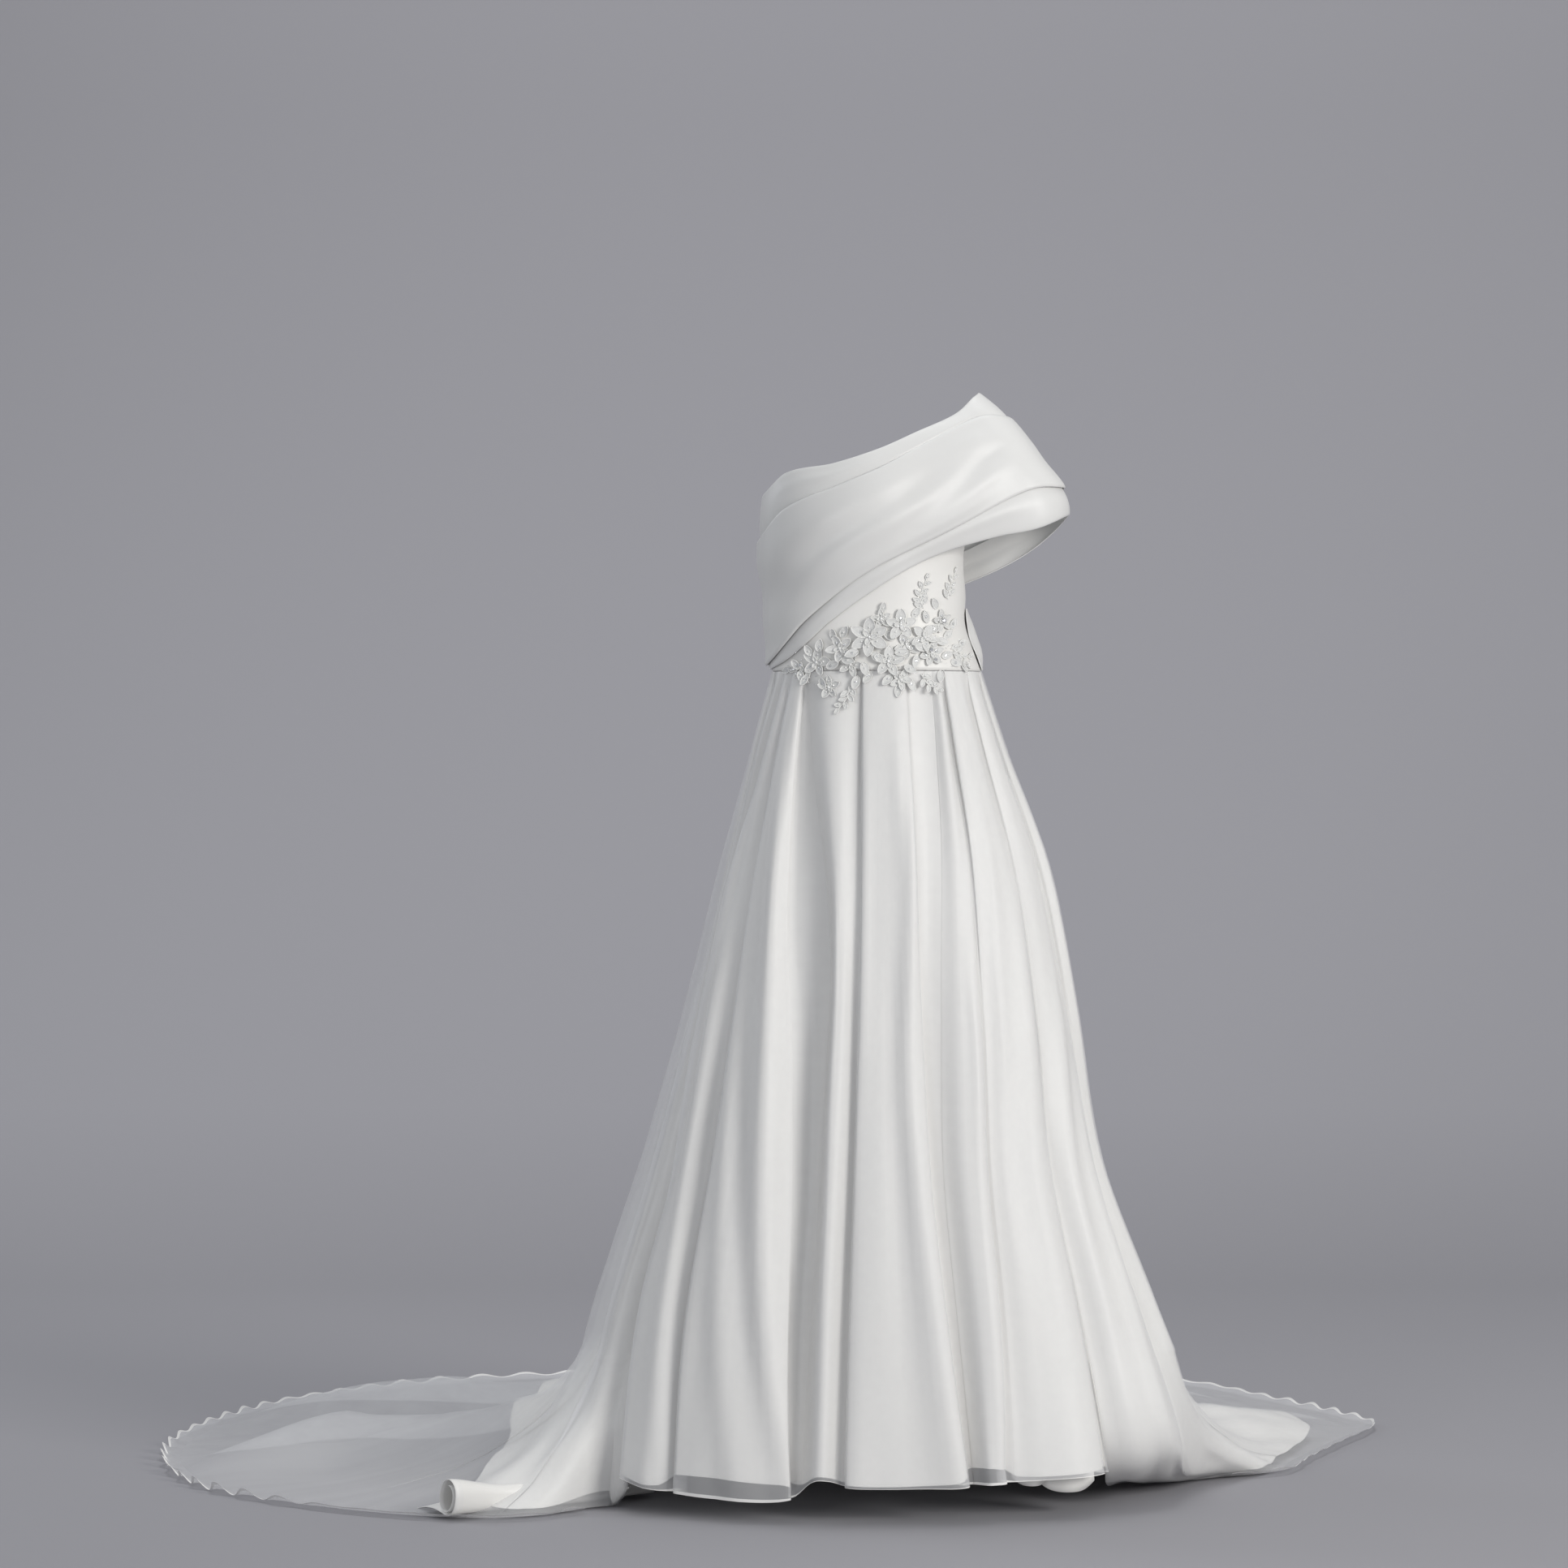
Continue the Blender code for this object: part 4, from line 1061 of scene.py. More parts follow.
SATIN_WALL = 0.0012
TRAIN_SATIN_STEPS = [t ** 1.25 for t in steps(26)[1:]]
TRAIN_BEYOND_STEPS = steps(22)[1:]
HEM_STRIP = 0.024


def ridge_height(x, y):
    """The height of the train's soft ridges, and of small billows between them, over a place on the floor."""
    height = 0.0
    place = Vector((x, y))
    for ridge in TRAIN_RIDGES:
        start = Vector((ridge.x1, ridge.y1))
        run = Vector((ridge.x2, ridge.y2)) - start
        part = max(0.0, min(1.0, (place - start).dot(run) / run.length_squared))
        away = (place - start - run * part).length
        height = max(height, ridge.height * math.exp(-((away / ridge.width) ** 2)))
    billow = noise.noise(Vector((x * 5.0, y * 5.0, 3.0)))
    billow += 0.5 * noise.noise(Vector((x * 11.0, y * 11.0, 9.0)))
    return height + max(0.0, BILLOW * (billow + 0.25))


def train_reach(angle):
    turn = angle % 360.0
    edge = Vector([column(TRAIN_EDGE, "angle", axis, turn) for axis in "xy"])
    return edge, column(TRAIN_EDGE, "angle", "satin_share", turn)


def seam_shift(angle, drop):
    """How far a column beside the front gores turns below the knee, to stay with those gores' own edge."""
    turn = (angle + 180.0) % 360.0 - 180.0
    fold = RIGHT_FRONT_EDGE if turn > 0 else LEFT_FRONT_EDGE
    moved = smooth(FOLD_DROPS, fold.right, drop) - smooth(FOLD_DROPS, fold.right, TRAIN_START_DROP)
    return moved * (1.0 - ease(60.0, 95.0, abs(turn)))


def train_column(angle, depth, plain, sink, beyond):
    """Points of one column from the skirt's knee to the edge of the train."""
    start, out = outline(angle, TRAIN_START_DROP)
    edge, share = train_reach(plain)
    whole = edge - start.xy
    length = whole.length
    edge = edge - whole * (HEM_STRIP / length)
    run = edge - start.xy
    above = WAIST_HEIGHT - TRAIN_START_DROP
    small = crease_height(angle, TRAIN_START_DROP) - hung_in(angle, TRAIN_START_DROP) * (sink == 1.0)
    places = [share * step for step in TRAIN_SATIN_STEPS]
    if beyond:
        places += [mix(share, 1.0, step) for step in TRAIN_BEYOND_STEPS]
    points = []
    under = 1.0 - ease(-0.2, 0.5, run.normalized().dot(out.xy))
    rate = max(KNEE_FALL * length, KNEE_STEEP * under)
    last = math.exp(-rate)
    for step in places:
        fall = math.exp(-rate * step)
        height = above * (fall - last) / (1.0 - last)
        away = mix(1.0, ease(0.0, KNEE_HANGS, step), under)
        hung = outline(angle + seam_shift(angle, WAIST_HEIGHT - height), WAIST_HEIGHT - height)[0].xy
        place = hung.lerp(start.xy + run * step, away)
        ends = min(1.0, 4.0 * step * (1.0 - step) + 0.05)
        lift = ridge_height(place.x, place.y) * ends
        radial = noise.noise(Vector((angle * 0.16, 2.0 * step, 4.0))) + 0.3
        lift += max(0.0, FLOOR_RIPPLE * radial) * ends
        place = place + out.xy * (small - depth * sink) * mix(max(0.0, 1.0 - 2.2 * step), 1.0 - away, under)
        z = FLOOR + SATIN_WALL + height + lift
        if step > share:
            z -= SATIN_WALL
        points.append(Vector((place.x, place.y, z)))
    return points


def train_rows(first, last, sink, beyond):
    columns = flute_columns(first, last, TRAIN_START_DROP)
    return [list(row) for row in zip(*(train_column(*at, sink, beyond) for at in columns))]


def front_hem_rows(first, last, sink, beyond):
    """The lowest rows of a front gore: down to the satin's hem, then on to the organza's, a little lower."""
    rows = []
    shares = [(t, 1.0) for t in steps(FRONT_LOW_ROWS)[1:]]
    if beyond:
        shares += [(1.0, shorter) for shorter in HEM_BAND_SHARES]
    for part, shorter in shares:
        row = []
        for angle, depth, _ in flute_columns(first, last, mix(TRAIN_START_DROP, FOLD_DROPS[-1], part)):
            band = shorter * smooth(HEM_BAND_ANGLES, HEM_BANDS, angle)
            hem = WAIST_HEIGHT - smooth(HEM_ANGLES, HEM_HEIGHTS, angle) - band
            drop = mix(TRAIN_START_DROP, hem, part)
            point, out = outline(angle, drop)
            small = crease_height(angle, drop) - hung_in(angle, drop) * (sink == 1.0)
            row.append(point + out * (small - depth * sink))
        rows.append(row)
    return rows


def gore_rows(first, last, trained, sink, beyond):
    rows = [skirt_row(first, last, drop, sink) for drop in UPPER_DROPS]
    return rows + (train_rows if trained else front_hem_rows)(first, last, sink, beyond)


Gore = namedtuple("Gore", "name first last trained")
GORES = (
    Gore("side_front_left", 0, 2, False),
    Gore("front", 2, 4, False),
    Gore("side_front_right", 4, 6, False),
    Gore("side_right", 6, 9, True),
    Gore("back_right", 9, 12, True),
    Gore("back_left", 12, 15, True),
    Gore("side_left", 15, 18, True),
)
for gore in GORES:
    rows = gore_rows(gore.first, gore.last, gore.trained, 1.0, False)
    piece = cloth("gore_satin_" + gore.name, rows, [satin], ["satin_" + gore.name], "satin")
    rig.sheet(piece, held="hung", **cut(rows))


# Organza overskirt: one sheer crisp layer in the same seven gores, hung from the waist over the satin.
# Its front hem is a narrow rolled edge up to 24 mm lower than the satin; behind, it is most of the train.

ORGANZA_WHITE = (0.86, 0.86, 0.87, 1.0)
ORGANZA_ALPHA = 0.36
ORGANZA_OUT = 0.0016
ORGANZA_FLATTER = 0.80
ORGANZA_LOWEST = FLOOR + 0.0022


def organza_alpha(start):
    """How much of the light the crossed threads stop: a little more where they bunch."""
    place = start.make("UVMap")
    bunch = start.make("TexNoise", None, {"Vector": place, "Scale": 16.0, "Detail": 3.0})
    return bunch * 0.12 + (ORGANZA_ALPHA - 0.06)


organza = finish(
    "sheer_organza",
    ORGANZA_WHITE,
    0.52,
    normal=lambda start: weave(start, 1500.0, 0.12),
    alpha=organza_alpha,
    sheen_weight=0.25,
    sheen_roughness=0.4,
    specular_ior_level=0.35,
)
rolled_edge = finish(
    "rolled_edge",
    (0.84, 0.83, 0.81, 1.0),
    0.45,
    normal=lambda start: weave(start, 1800.0, 0.25),
    alpha=0.92,
    sheen_weight=0.15,
)


def moved_out(rows, distance):
    """The points of a sheet moved along their normals, for a layer that lies on it."""
    moved = []
    for i, row in enumerate(rows):
        up, down = rows[max(i - 1, 0)], rows[min(i + 1, len(rows) - 1)]
        line = []
        for j, point in enumerate(row):
            across = row[min(j + 1, len(row) - 1)] - row[max(j - 1, 0)]
            normal = (down[j] - up[j]).cross(across)
            line.append(point + normal.normalized() * distance)
        moved.append(line)
    return moved


train_edges = {}
panel_columns = FLUTE_COLUMNS + 1 + len(FOLD_FLOOR)
for gore in GORES:
    rows = gore_rows(gore.first - 1, gore.last + 1, gore.trained, ORGANZA_FLATTER, True)
    rows = [row[panel_columns:-panel_columns] for row in moved_out(rows, ORGANZA_OUT)]
    for row in rows:
        for point in row:
            point.z = max(point.z, ORGANZA_LOWEST)
    piece = cloth(
        "gore_organza_" + gore.name,
        rows,
        [organza, rolled_edge],
        ["organza_" + gore.name],
        "organza",
        edge_rows=0 if gore.trained else 1,
    )
    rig.sheet(piece, held="hung", rests_on=["gore_satin_" + gore.name], **cut(rows))
    if gore.trained:
        train_edges[gore.name] = rows[-1]


# Train hem: a narrow strip of organza that ruffles where it was eased on, its outer edge rolled and
# overcast with close stitches that stiffen it into small waves.

Hem = namedtuple("Hem", "name first last ruffled")
TRAIN_HEMS = (
    Hem("side_right", 0.36, 1.0, 0.25),
    Hem("back_right", 0.0, 1.0, 0.40),
    Hem("back_left", 0.0, 1.0, 0.80),
    Hem("side_left", 0.0, 0.82, 1.0),
)
RUFFLE_PARTS = 10
RUFFLE_ROWS = (0.0, 0.2, 0.4, 0.6, 0.75, 0.86, 1.0)
RUFFLE_LENGTH = 0.064
RUFFLE_RISE = 0.0070
RUFFLE_SWING = 0.004
EDGE_REACH = 12
CALM_STRETCH = (-0.70, -0.47)

for hem in TRAIN_HEMS:
    edge = train_edges[hem.name]
    edge = edge[int(hem.first * (len(edge) - 1)): int(hem.last * (len(edge) - 1)) + 1]
    fine = []
    for k in range((len(edge) - 1) * RUFFLE_PARTS + 1):
        i = min(k // RUFFLE_PARTS, len(edge) - 2)
        fine.append(edge[i].lerp(edge[i + 1], k / RUFFLE_PARTS - i))
    course = [0.0]
    for a, b in zip(fine, fine[1:]):
        course.append(course[-1] + (b - a).length)
    rows = []
    for part in RUFFLE_ROWS:
        row = []
        for k, point in enumerate(fine):
            ahead, behind = fine[min(k + EDGE_REACH, len(fine) - 1)], fine[max(k - EDGE_REACH, 0)]
            along = (ahead - behind).xy
            away = Vector((along.y, -along.x)).normalized()
            s = course[k]
            drift = 3.0 * noise.noise(Vector((s * 2.2, 1.0, 0.0)))
            wave = math.sin(s * 2.0 * math.pi / RUFFLE_LENGTH + drift)
            wave *= max(0.10, 0.62 + noise.noise(Vector((s * 3.0, 5.0, 0.0)))) * hem.ruffled
            if point.y < 0.0:
                low, high = CALM_STRETCH
                wave *= 1.0 - 0.85 * ease(low - 0.05, low, point.x) * (1.0 - ease(high, high + 0.05, point.x))
            reach = part * (HEM_STRIP + RUFFLE_SWING * wave)
            z = mix(point.z, ORGANZA_LOWEST + RUFFLE_RISE * (1.0 + wave) * part, part)
            row.append(Vector((*(point.xy + away * reach), z)))
        rows.append(row)
    replaced = ["hem_" + hem.name]
    strip = cloth("ruffle_" + hem.name, rows, [organza, rolled_edge], replaced, "organza", edge_rows=1)
    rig.sheet(strip, held="gathered", rests_on=["gore_organza_" + hem.name], **cut(rows))


# Curl: the front left corner of the train, where the ivory layer has rolled up on itself on the floor.
# It is loose cloth, held only by its own seam at the train, and its hollow end faces left.

CURL_LEFT = Vector((-0.560, -0.222))
CURL_RIGHT = Vector((-0.296, -0.030))
CURL_RADIUS = 0.0220
CURL_TURNS = 1.45
CURL_LEAD = 0.075
CURL_LEAD_SHARE = 0.25
CURL_OFF_FLOOR = 0.0065
CURL_WALL = 0.0008
CURL_ROWS = 46
CURL_COLUMNS = 64

rows = []
inside = Vector((CURL_LEFT.y - CURL_RIGHT.y, CURL_RIGHT.x - CURL_LEFT.x)).normalized()
for part in steps(CURL_ROWS):
    along = 1.0 - part
    middle = CURL_LEFT.lerp(CURL_RIGHT, along) + inside * 0.006 * math.sin(8.0 * along)
    open_end = CURL_RADIUS * (1.0 - 0.66 * along) * (1.0 + 0.10 * math.sin(13.0 * along + 1.0))
    row = []
    for step in steps(CURL_COLUMNS):
        if step < CURL_LEAD_SHARE:
            flat = step / CURL_LEAD_SHARE
            back = CURL_LEAD * (1.0 - flat) * (1.0 - 0.5 * along)
            lift = 0.006 * math.sin(math.pi * flat) * (1.0 + math.sin(9.0 * along))
            place = middle + inside * back
            row.append(Vector((*place, FLOOR + CURL_OFF_FLOOR + lift)))
            continue
        curled = (step - CURL_LEAD_SHARE) / (1.0 - CURL_LEAD_SHARE)
        turn = 2.0 * math.pi * CURL_TURNS * curled
        dent = 1.0 + 0.14 * math.cos(2.0 * turn + 0.9) + 0.08 * math.sin(12.0 * along + turn) - 0.10 * along
        tight = open_end * (1.0 - 0.42 * curled) * mix(1.0, dent, ease(0.0, 0.2, curled))
        place = middle - inside * tight * math.sin(turn)
        row.append(Vector((*place, FLOOR + CURL_OFF_FLOOR + open_end - tight * math.cos(turn))))
    rows.append(row)
curl = cloth("train_curl", rows, [satin, rolled_edge], [], "satin", wall=CURL_WALL, edge_rows=2)
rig.sheet(curl, held="folded", rests_on=["gore_organza_side_left"], **cut(rows))


# Layer hems: two narrow ivory hems of the layers beneath, which show below the right front panel.
# They hang from the waist inside the skirt. Only their lowest 10 cm is made, and less of it shows.

LayerHem = namedtuple("LayerHem", "name first last drop inside")
LAYER_HEMS = (
    LayerHem("upper", 23.5, 31.0, 1.0585, 0.034),
    LayerHem("lower", 29.5, 41.5, 1.0700, 0.040),
)
LAYER_SHOWN = 0.10
LAYER_ROUNDED = 0.012
LAYER_WAVE = 0.004
LAYER_WALL = 0.0010

for layer in LAYER_HEMS:
    rows = []
    for step in steps(10):
        row = []
        for part in steps(24):
            angle = mix(layer.first, layer.last, part)
            low = layer.drop - LAYER_ROUNDED * abs(2.0 * part - 1.0) ** 3
            point, out = outline(angle, low - LAYER_SHOWN * (1.0 - step))
            wave = LAYER_WAVE * math.sin(7.0 * part + 1.0) * step
            row.append(point - out * (layer.inside + wave))
        rows.append(row)
    under = cloth("layer_hem_" + layer.name, rows, [satin], [], "satin", wall=LAYER_WALL)
    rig.sheet(under, held="hung", rests_on=["gore_satin_side_front_right"], **cut(rows))


# Lace at the waist: flowers, leaves and sprigs of fine net with corded edges, cut out and sewn over
# the waist seam by hand. Petals stand up a little, and most carry a bead or a sequin near the middle.

LACE_OUT = 0.0008
SEAM_STEP = 0.0008
SEAM_NEAR = 0.012
LACE_LAYER = 0.0030
CORD = 0.00062
BEAD = 0.00125
DUST_BEAD = 0.0008
PETAL_ROWS = 7
PETAL_SIDES = (-1.0, -0.55, 0.0, 0.55, 1.0)
PETAL_TURN = (-5, 5)
PETAL_LENGTH = (0.88, 1.00)
PETAL_WIDTH = (0.52, 0.62)
PETAL_LIFT = (0.0015, 0.0050)
PETAL_ROLL = (-0.30, 0.30)
LEAF_STRETCH = 1.36
CORD_SIDES = 5
NET_OPEN = (0.71, 0.71, 0.70, 1.0)
NET_WHITE = (0.88, 0.88, 0.86, 1.0)

# Flowers: middle, radius, petals, the way that the first one points in degrees, and layer.
Flower = namedtuple("Flower", "x z radius petals turn layer")
FLOWERS = (
    Flower(-0.0115, 0.0440, 0.0250, 6, 90, 1),
    Flower(0.0290, 0.0600, 0.0200, 5, 20, 1),
    Flower(0.0600, 0.0440, 0.0190, 5, 60, 1),
    Flower(0.0130, 0.0120, 0.0200, 5, 10, 1),
    Flower(-0.0490, 0.0290, 0.0180, 5, 40, 1),
    Flower(-0.0360, 0.0080, 0.0160, 5, 0, 0),
    Flower(-0.0800, 0.0110, 0.0190, 5, 75, 0),
    Flower(0.0850, 0.0660, 0.0150, 5, 30, 0),
    Flower(0.0700, 0.0240, 0.0180, 6, 15, 0),
    Flower(0.0380, 0.0320, 0.0170, 5, 50, 0),
    Flower(-0.0640, -0.0220, 0.0150, 5, 20, 0),
    Flower(0.0300, -0.0120, 0.0150, 5, 65, 0),
    Flower(0.0040, 0.0680, 0.0130, 5, 25, 0),
)

# Sprigs: the stem's points, pairs of leaves, the length of a leaf, and layer.
Sprig = namedtuple("Sprig", "name path leaves leaf layer")
SPRIGS = (
    Sprig("upper_right", ((0.060, 0.082), (0.056, 0.098), (0.064, 0.122)), 4, 0.0080, 0),
    Sprig("far_right", ((0.092, 0.094), (0.096, 0.112), (0.103, 0.132)), 3, 0.0080, 0),
    Sprig("right", ((0.096, 0.030), (0.108, 0.024), (0.120, 0.010)), 3, 0.0080, 0),
    Sprig("low_right", ((0.056, -0.004), (0.066, -0.018), (0.080, -0.024)), 3, 0.0070, 0),
    Sprig("low_left", ((-0.090, -0.016), (-0.098, -0.004), (-0.112, 0.000)), 3, 0.0075, 0),
    Sprig("hanging", ((-0.038, -0.020), (-0.041, -0.036), (-0.053, -0.052)), 3, 0.0075, 0),
)

# Single leaves between the flowers: middle, the way that the tip points in degrees, length and layer.
Leaf = namedtuple("Leaf", "x z turn length layer")
LEAVES = (
    Leaf(-0.118, 0.002, 200, 0.011, 0),
    Leaf(-0.104, 0.006, 130, 0.012, 1),
    Leaf(-0.100, -0.004, 290, 0.012, 1),
    Leaf(-0.093, -0.010, 235, 0.012, 1),
    Leaf(-0.088, 0.024, 120, 0.012, 1),
    Leaf(-0.076, 0.030, 75, 0.013, 1),
    Leaf(-0.073, -0.014, 300, 0.012, 1),
    Leaf(-0.062, 0.006, 20, 0.014, 1),
    Leaf(-0.058, 0.044, 100, 0.012, 0),
    Leaf(-0.046, 0.048, 60, 0.013, 0),
    Leaf(-0.042, 0.014, 350, 0.013, 2),
    Leaf(-0.030, 0.024, 200, 0.014, 2),
    Leaf(-0.028, -0.012, 250, 0.014, 0),
    Leaf(-0.018, 0.006, 285, 0.014, 1),
    Leaf(-0.012, -0.006, 235, 0.013, 0),
    Leaf(-0.004, 0.020, 320, 0.014, 2),
    Leaf(0.006, 0.080, 80, 0.011, 0),
    Leaf(0.014, -0.010, 225, 0.013, 1),
    Leaf(0.018, 0.044, 150, 0.014, 0),
    Leaf(0.026, 0.024, 10, 0.013, 2),
    Leaf(0.026, -0.024, 265, 0.012, 0),
    Leaf(0.038, 0.004, 330, 0.013, 1),
    Leaf(0.042, -0.016, 300, 0.013, 0),
    Leaf(0.048, 0.074, 55, 0.012, 0),
    Leaf(0.050, 0.016, 250, 0.013, 1),
    Leaf(0.058, 0.030, 170, 0.013, 2),
    Leaf(0.064, 0.068, 110, 0.013, 0),
    Leaf(0.072, 0.054, 30, 0.013, 0),
    Leaf(0.076, 0.086, 120, 0.012, 0),
    Leaf(0.080, 0.040, 350, 0.014, 1),
    Leaf(0.082, -0.004, 260, 0.012, 0),
    Leaf(0.088, 0.020, 20, 0.013, 0),
    Leaf(0.090, 0.046, 45, 0.012, 0),
    Leaf(0.098, 0.060, 60, 0.012, 0),
    Leaf(0.100, 0.012, 340, 0.012, 0),
    Leaf(0.110, 0.036, 30, 0.012, 0),
    Leaf(0.113, 0.008, 310, 0.012, 0),
    Leaf(0.122, 0.020, 20, 0.010, 0),
)
Stone = namedtuple("Stone", "x z radius")
STONES = (
    Stone(0.0855, 0.0665, 0.0032),
    Stone(0.0685, 0.0280, 0.0030),
    Stone(0.0745, 0.0150, 0.0022),
    Stone(-0.0990, 0.0080, 0.0022),
)
STONE_OUT = 0.0040
STONE_BEADS = 9

# The line that scattered beads follow from left to right, and how far they stray from it up and down.
Dust = namedtuple("Dust", "x z stray")
DUST_LINE = (
    Dust(-0.125, 0.000, 0.006),
    Dust(-0.080, 0.008, 0.022),
    Dust(-0.030, 0.022, 0.036),
    Dust(0.030, 0.032, 0.042),
    Dust(0.080, 0.030, 0.036),
    Dust(0.122, 0.010, 0.012),
)
DUST_BEADS = 130


def lace_ground(x, z, across=0.0):
    """A point of the cloth at the front of the waist, by its X and an arc from there, and the way out."""
    if z > 0:
        _, middle, wide, deep, _ = torso_at(z)
        near = max(0.0, 1.0 - z / SEAM_NEAR)
    else:
        middle = 0.0
        wide, deep = (column(SKIRT_RINGS, "drop", name, -z) for name in ("right", "front"))
        near = 1.0
    wide, deep = wide + SEAM_STEP * near, deep + SEAM_STEP * near
    turn = math.asin(max(-1.0, min(1.0, (x - middle) / wide)))
    turn += across / math.hypot(wide * math.cos(turn), deep * math.sin(turn))
    out = Vector((math.sin(turn) / wide, -math.cos(turn) / deep, 0.0)).normalized()
    return Vector((middle + wide * math.sin(turn), -deep * math.cos(turn), z)), out


def net_colour(start):
    """White net, a little greyer where its mesh is open."""
    thread = start.make("TexNoise", None, {"Vector": start.make("UVMap"), "Scale": 260.0, "Detail": 2.0})
    return thread.blend(NET_OPEN, NET_WHITE)


def glint(scale, spread, least):
    """The roughness of glass or foil, slightly uneven."""
    return lambda start: start.make("TexNoise", None, {"Scale": scale}) * spread + least


lace_net = finish(
    "lace_net",
    net_colour,
    0.42,
    normal=lambda start: weave(start, 5200.0, 0.5),
    alpha=0.90,
    sheen_weight=0.2,
    specular_ior_level=0.6,
)
lace_cord = finish(
    "lace_cord",
    (0.90, 0.895, 0.87, 1.0),
    0.42,
    normal=lambda start: weave(start, 9000.0, 0.4),
    sheen_weight=0.2,
    specular_ior_level=0.5,
)
pearl = finish(
    "glass_pearl",
    (0.88, 0.88, 0.87, 1.0),
    glint(900.0, 0.10, 0.06),
    coat_weight=1.0,
    coat_roughness=0.04,
    specular_ior_level=0.9,
)
silver_stone = finish(
    "silver_stone",
    (0.80, 0.81, 0.83, 1.0),
    glint(700.0, 0.12, 0.05),
    metallic=0.9,
    coat_weight=0.6,
)
sequin_foil = finish(
    "sequin_foil",
    (0.86, 0.87, 0.88, 1.0),
    glint(500.0, 0.18, 0.10),
    metallic=0.65,
    coat_weight=0.8,
)
LACE_FINISHES = (lace_net, lace_cord, pearl, silver_stone, sequin_foil)
NET, CORDING, PEARL, STONE, SEQUIN = range(5)
lace_chance = random.Random(11)


class Applique:
    """The points and faces of one cut-out piece of lace, with everything sewn to it."""

    def __init__(self):
        self.points = []
        self.faces = []
        self.finishes = []

    def patch(self, rows, finish_index, closed=False):
        """A grid of points. A closed one joins its last column to its first."""
        first, wide = len(self.points), len(rows[0])
        self.points += [point for row in rows for point in row]
        for i in range(len(rows) - 1):
            for j in range(wide if closed else wide - 1):
                n = (j + 1) % wide
                here = first + i * wide
                self.faces.append([here + j, here + n, here + wide + n, here + wide + j])
                self.finishes.append(finish_index)

    def cording(self, line, radius):
        """A raised cord along a line of (point, way out), with its ends tucked in."""
        rows = []
        for k, (point, out) in enumerate(line):
            ahead, behind = line[min(k + 1, len(line) - 1)][0], line[max(k - 1, 0)][0]
            along = (ahead - behind).normalized()
            side = along.cross(out).normalized()
            ends = 0.35 if k in (0, len(line) - 1) else 1.0
            rows.append([
                point + (side * math.cos(turn) + out * math.sin(turn)) * radius * ends
                for turn in (2.0 * math.pi * n / CORD_SIDES for n in range(CORD_SIDES))
            ])
        self.patch(rows, CORDING, closed=True)

    def bead(self, place, out, radius, finish_index, tall=1.0, sides=8, rings=5):
        """A round bead, or a stone, whose rings are turned against each other into facets."""
        side = out.cross(Vector((0.0, 0.0, 1.0))).normalized()
        up = side.cross(out)
        rows = []
        for i in range(rings + 1):
            lean = math.pi * (0.02 + 0.96 * i / rings)
            twist = 0.5 * (i % 2) * (finish_index == STONE)
            rows.append([
                place + (side * math.cos(turn) + up * math.sin(turn)) * radius * math.sin(lean)
                + out * radius * tall * math.cos(lean)
                for turn in (2.0 * math.pi * (n + twist) / sides for n in range(sides))
            ])
        self.patch(rows, finish_index, closed=True)

    def sequin(self, place, out, radius):
        """A cupped foil disc with a seed bead that holds it."""
        tilt = (out + Vector([lace_chance.uniform(-0.35, 0.35) for _ in range(3)])).normalized()
        side = tilt.cross(Vector((0.1, 0.0, 1.0))).normalized()
        up = side.cross(tilt)
        rows = [
            [place + (side * math.cos(turn) + up * math.sin(turn)) * radius * share + tilt * high
             for turn in (2.0 * math.pi * n / 10 for n in range(10))]
            for share, high in ((0.12, 0.0002), (0.6, 0.0), (1.0, 0.0004), (0.97, 0.0002), (0.12, -0.0001))
        ]
        self.patch(rows, SEQUIN, closed=True)
        self.bead(place + tilt * 0.0004, tilt, 0.0005, PEARL, sides=6, rings=4)

    def petal(self, ground, turn, start, length, width, base, lift, roll=0.0, bead=True):
        """A pointed oval of net, cupped, with a cord round its edge and a bead on its rib.

        The ground gives (point, way out) at a distance across and up from the flower's middle.
        """
        cos, sin = math.cos(turn), math.sin(turn)

        def at(along, side):
            reach = start + length * along
            half = 0.5 * width * (4.0 * along * (1.0 - along)) ** 0.72 * (1.0 - 0.25 * (along - 0.5))
            off = half * side
            point, out = ground(reach * cos - off * sin, reach * sin + off * cos)
            cupped = 0.16 * half * side * side - 0.0003 * (1.0 - abs(side))
            return point + out * (base + lift * along ** 1.4 + roll * off + cupped), out

        self.patch([[at(along, side)[0] for side in PETAL_SIDES] for along in steps(PETAL_ROWS)], NET)
        edge = [at(k / 9, 1.0) for k in range(10)] + [at(1.0 - k / 9, -1.0) for k in range(1, 10)]
        self.cording(edge, CORD)
        self.cording([at(k / 12, 0.0) for k in range(1, 9)], CORD * 0.55)
        place, out = at(lace_chance.uniform(0.34, 0.5), 0.0)
        if bead == "sequin":
            self.sequin(place + out * 0.0005, out, 0.0019)
        elif bead:
            self.bead(place + out * BEAD * 0.7, out, BEAD, PEARL)

    def settle(self, name, replaced):
        mesh = bpy.data.meshes.new(name)
        mesh.from_pydata(self.points, [], self.faces)
        mapping = mesh.uv_layers.new(name="UVMap").data
        for loop in mesh.loops:
            point = self.points[loop.vertex_index]
            mapping[loop.index].uv = (point.x, point.z)
        for material in LACE_FINISHES:
            mesh.materials.append(material)
        for polygon in mesh.polygons:
            polygon.material_index = self.finishes[polygon.index]
            polygon.use_smooth = self.finishes[polygon.index] != STONE
        piece = bpy.data.objects.new(name, mesh)
        bpy.context.scene.collection.objects.link(piece)
        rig.ride(piece, "root")
        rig.slot(piece, "lace")
        if replaced:
            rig.replaces(piece, replaced)


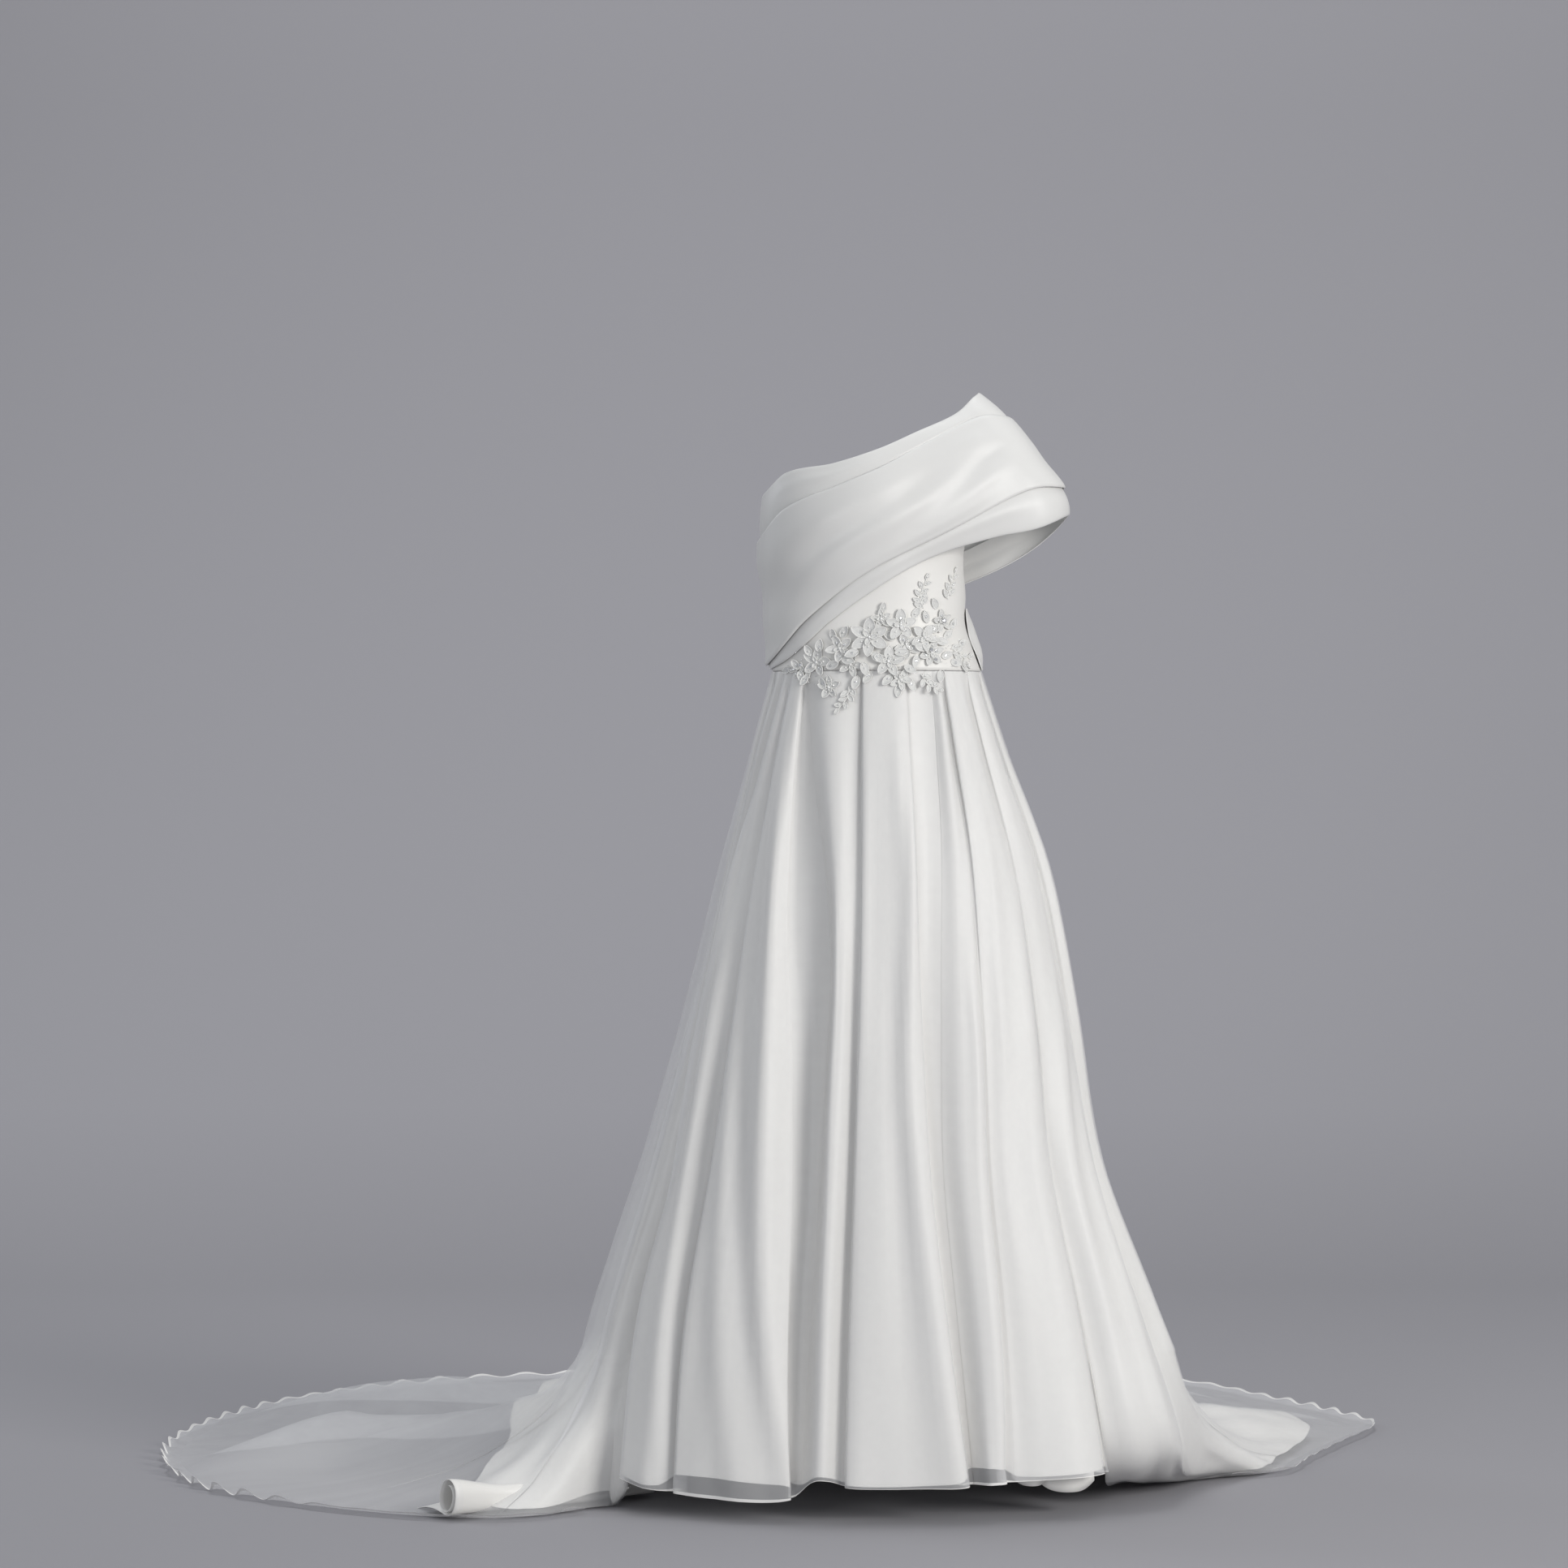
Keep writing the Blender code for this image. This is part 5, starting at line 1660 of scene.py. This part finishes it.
def ground_round(x, z):
    return lambda across, up: lace_ground(x, z + up, across)


for number, bloom in enumerate(FLOWERS):
    work = Applique()
    ground = ground_round(bloom.x, bloom.z)
    base = LACE_OUT + bloom.layer * LACE_LAYER
    for k in range(bloom.petals):
        turn = math.radians(bloom.turn + 360.0 * k / bloom.petals + lace_chance.uniform(*PETAL_TURN))
        length = bloom.radius * lace_chance.uniform(*PETAL_LENGTH)
        width = length * lace_chance.uniform(*PETAL_WIDTH)
        lift = lace_chance.uniform(*PETAL_LIFT)
        kind = "sequin" if lace_chance.random() < 0.35 else lace_chance.random() < 0.8
        roll = lace_chance.uniform(*PETAL_ROLL)
        work.petal(ground, turn, bloom.radius * 0.10, length, width, base, lift, roll, kind)
    for k in range(3):
        turn = math.radians(bloom.turn + 120.0 * k + 40.0)
        start, length, width = (bloom.radius * share for share in (0.03, 0.42, 0.26))
        work.petal(ground, turn, start, length, width, base + 0.0012, 0.0020, bead=False)
    place, out = ground(0.0, 0.0)
    work.bead(place + out * (base + 0.0022), out, 0.0019, PEARL, tall=0.8, sides=10, rings=7)
    for k in range(6):
        turn = math.radians(60.0 * k + bloom.turn)
        place, out = ground(0.0032 * math.cos(turn), 0.0032 * math.sin(turn))
        work.bead(place + out * (base + 0.0014), out, 0.0008, STONE if k % 2 else PEARL, sides=6, rings=4)
    name = "flower_{:02d}".format(number + 1)
    work.settle("applique_" + name, "lace_" + name)


def along_path(path, at):
    """A point on a smooth line through a path's points, which lie at equal shares of it."""
    keys = steps(len(path) - 1)
    return Vector([smooth(keys, [point[axis] for point in path], at) for axis in (0, 1)])


for spray in SPRIGS:
    work = Applique()
    base = LACE_OUT + spray.layer * LACE_LAYER
    stem = []
    for at in steps(24):
        place, out = lace_ground(*along_path(spray.path, at))
        stem.append((place + out * base, out))
    work.cording(stem, CORD * 1.1)
    for k in range(spray.leaves * 2 + 1):
        at = (k + 0.5) / (spray.leaves * 2 + 1)
        here = along_path(spray.path, at)
        run = along_path(spray.path, min(at + 0.03, 1.0)) - along_path(spray.path, max(at - 0.03, 0.0))
        heading = math.atan2(run.y, run.x)
        if k < spray.leaves * 2:
            heading += -0.85 if k % 2 else 0.85
        size = spray.leaf * (1.75 - 0.6 * at)
        roll = lace_chance.uniform(-0.2, 0.2)
        beaded = lace_chance.random() < 0.75
        work.petal(ground_round(*here), heading, 0.0006, size, size * 0.52, base, 0.0016, roll, beaded)
    work.settle("applique_sprig_" + spray.name, "lace_sprig_" + spray.name)

work = Applique()
for leaf in LEAVES:
    length = leaf.length * LEAF_STRETCH
    turn = math.radians(leaf.turn)
    base = LACE_OUT + leaf.layer * LACE_LAYER * 0.8
    kind = "sequin" if lace_chance.random() < 0.3 else lace_chance.random() < 0.75
    lift = lace_chance.uniform(0.0010, 0.0042)
    roll = lace_chance.uniform(-0.35, 0.35)
    ground = ground_round(leaf.x, leaf.z)
    work.petal(ground, turn, -0.3 * length, length, length * 0.54, base, lift, roll, kind)
for stone in STONES:
    place, out = lace_ground(stone.x, stone.z)
    work.bead(place + out * (LACE_OUT + STONE_OUT), out, stone.radius, STONE, tall=0.7, rings=4)
    reach = 1.25 * stone.radius
    for k in range(STONE_BEADS):
        turn = 2.0 * math.pi * k / STONE_BEADS
        place, out = lace_ground(stone.x, stone.z + reach * math.sin(turn), reach * math.cos(turn))
        work.bead(place + out * (LACE_OUT + 0.9 * STONE_OUT), out, 0.0007, PEARL, sides=6, rings=4)
for _ in range(DUST_BEADS):
    x = mix(DUST_LINE[0].x, DUST_LINE[-1].x, lace_chance.random())
    stray = lace_chance.gauss(0.0, 0.5) * column(DUST_LINE, "x", "stray", x)
    place, out = lace_ground(x, column(DUST_LINE, "x", "z", x) + stray)
    high = LACE_OUT + lace_chance.uniform(0.0002, 0.0030)
    kind = PEARL if lace_chance.random() < 0.5 else STONE
    work.bead(place + out * high, out, DUST_BEAD * lace_chance.uniform(0.7, 1.2), kind, sides=6, rings=4)
work.settle("applique_leaves_and_beads", None)


size = {"cad": [list(corner) for corner in cad_box], "visual": [list(corner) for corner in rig.bounds()]}
with open("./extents.json", "w") as out:
    json.dump(size, out)
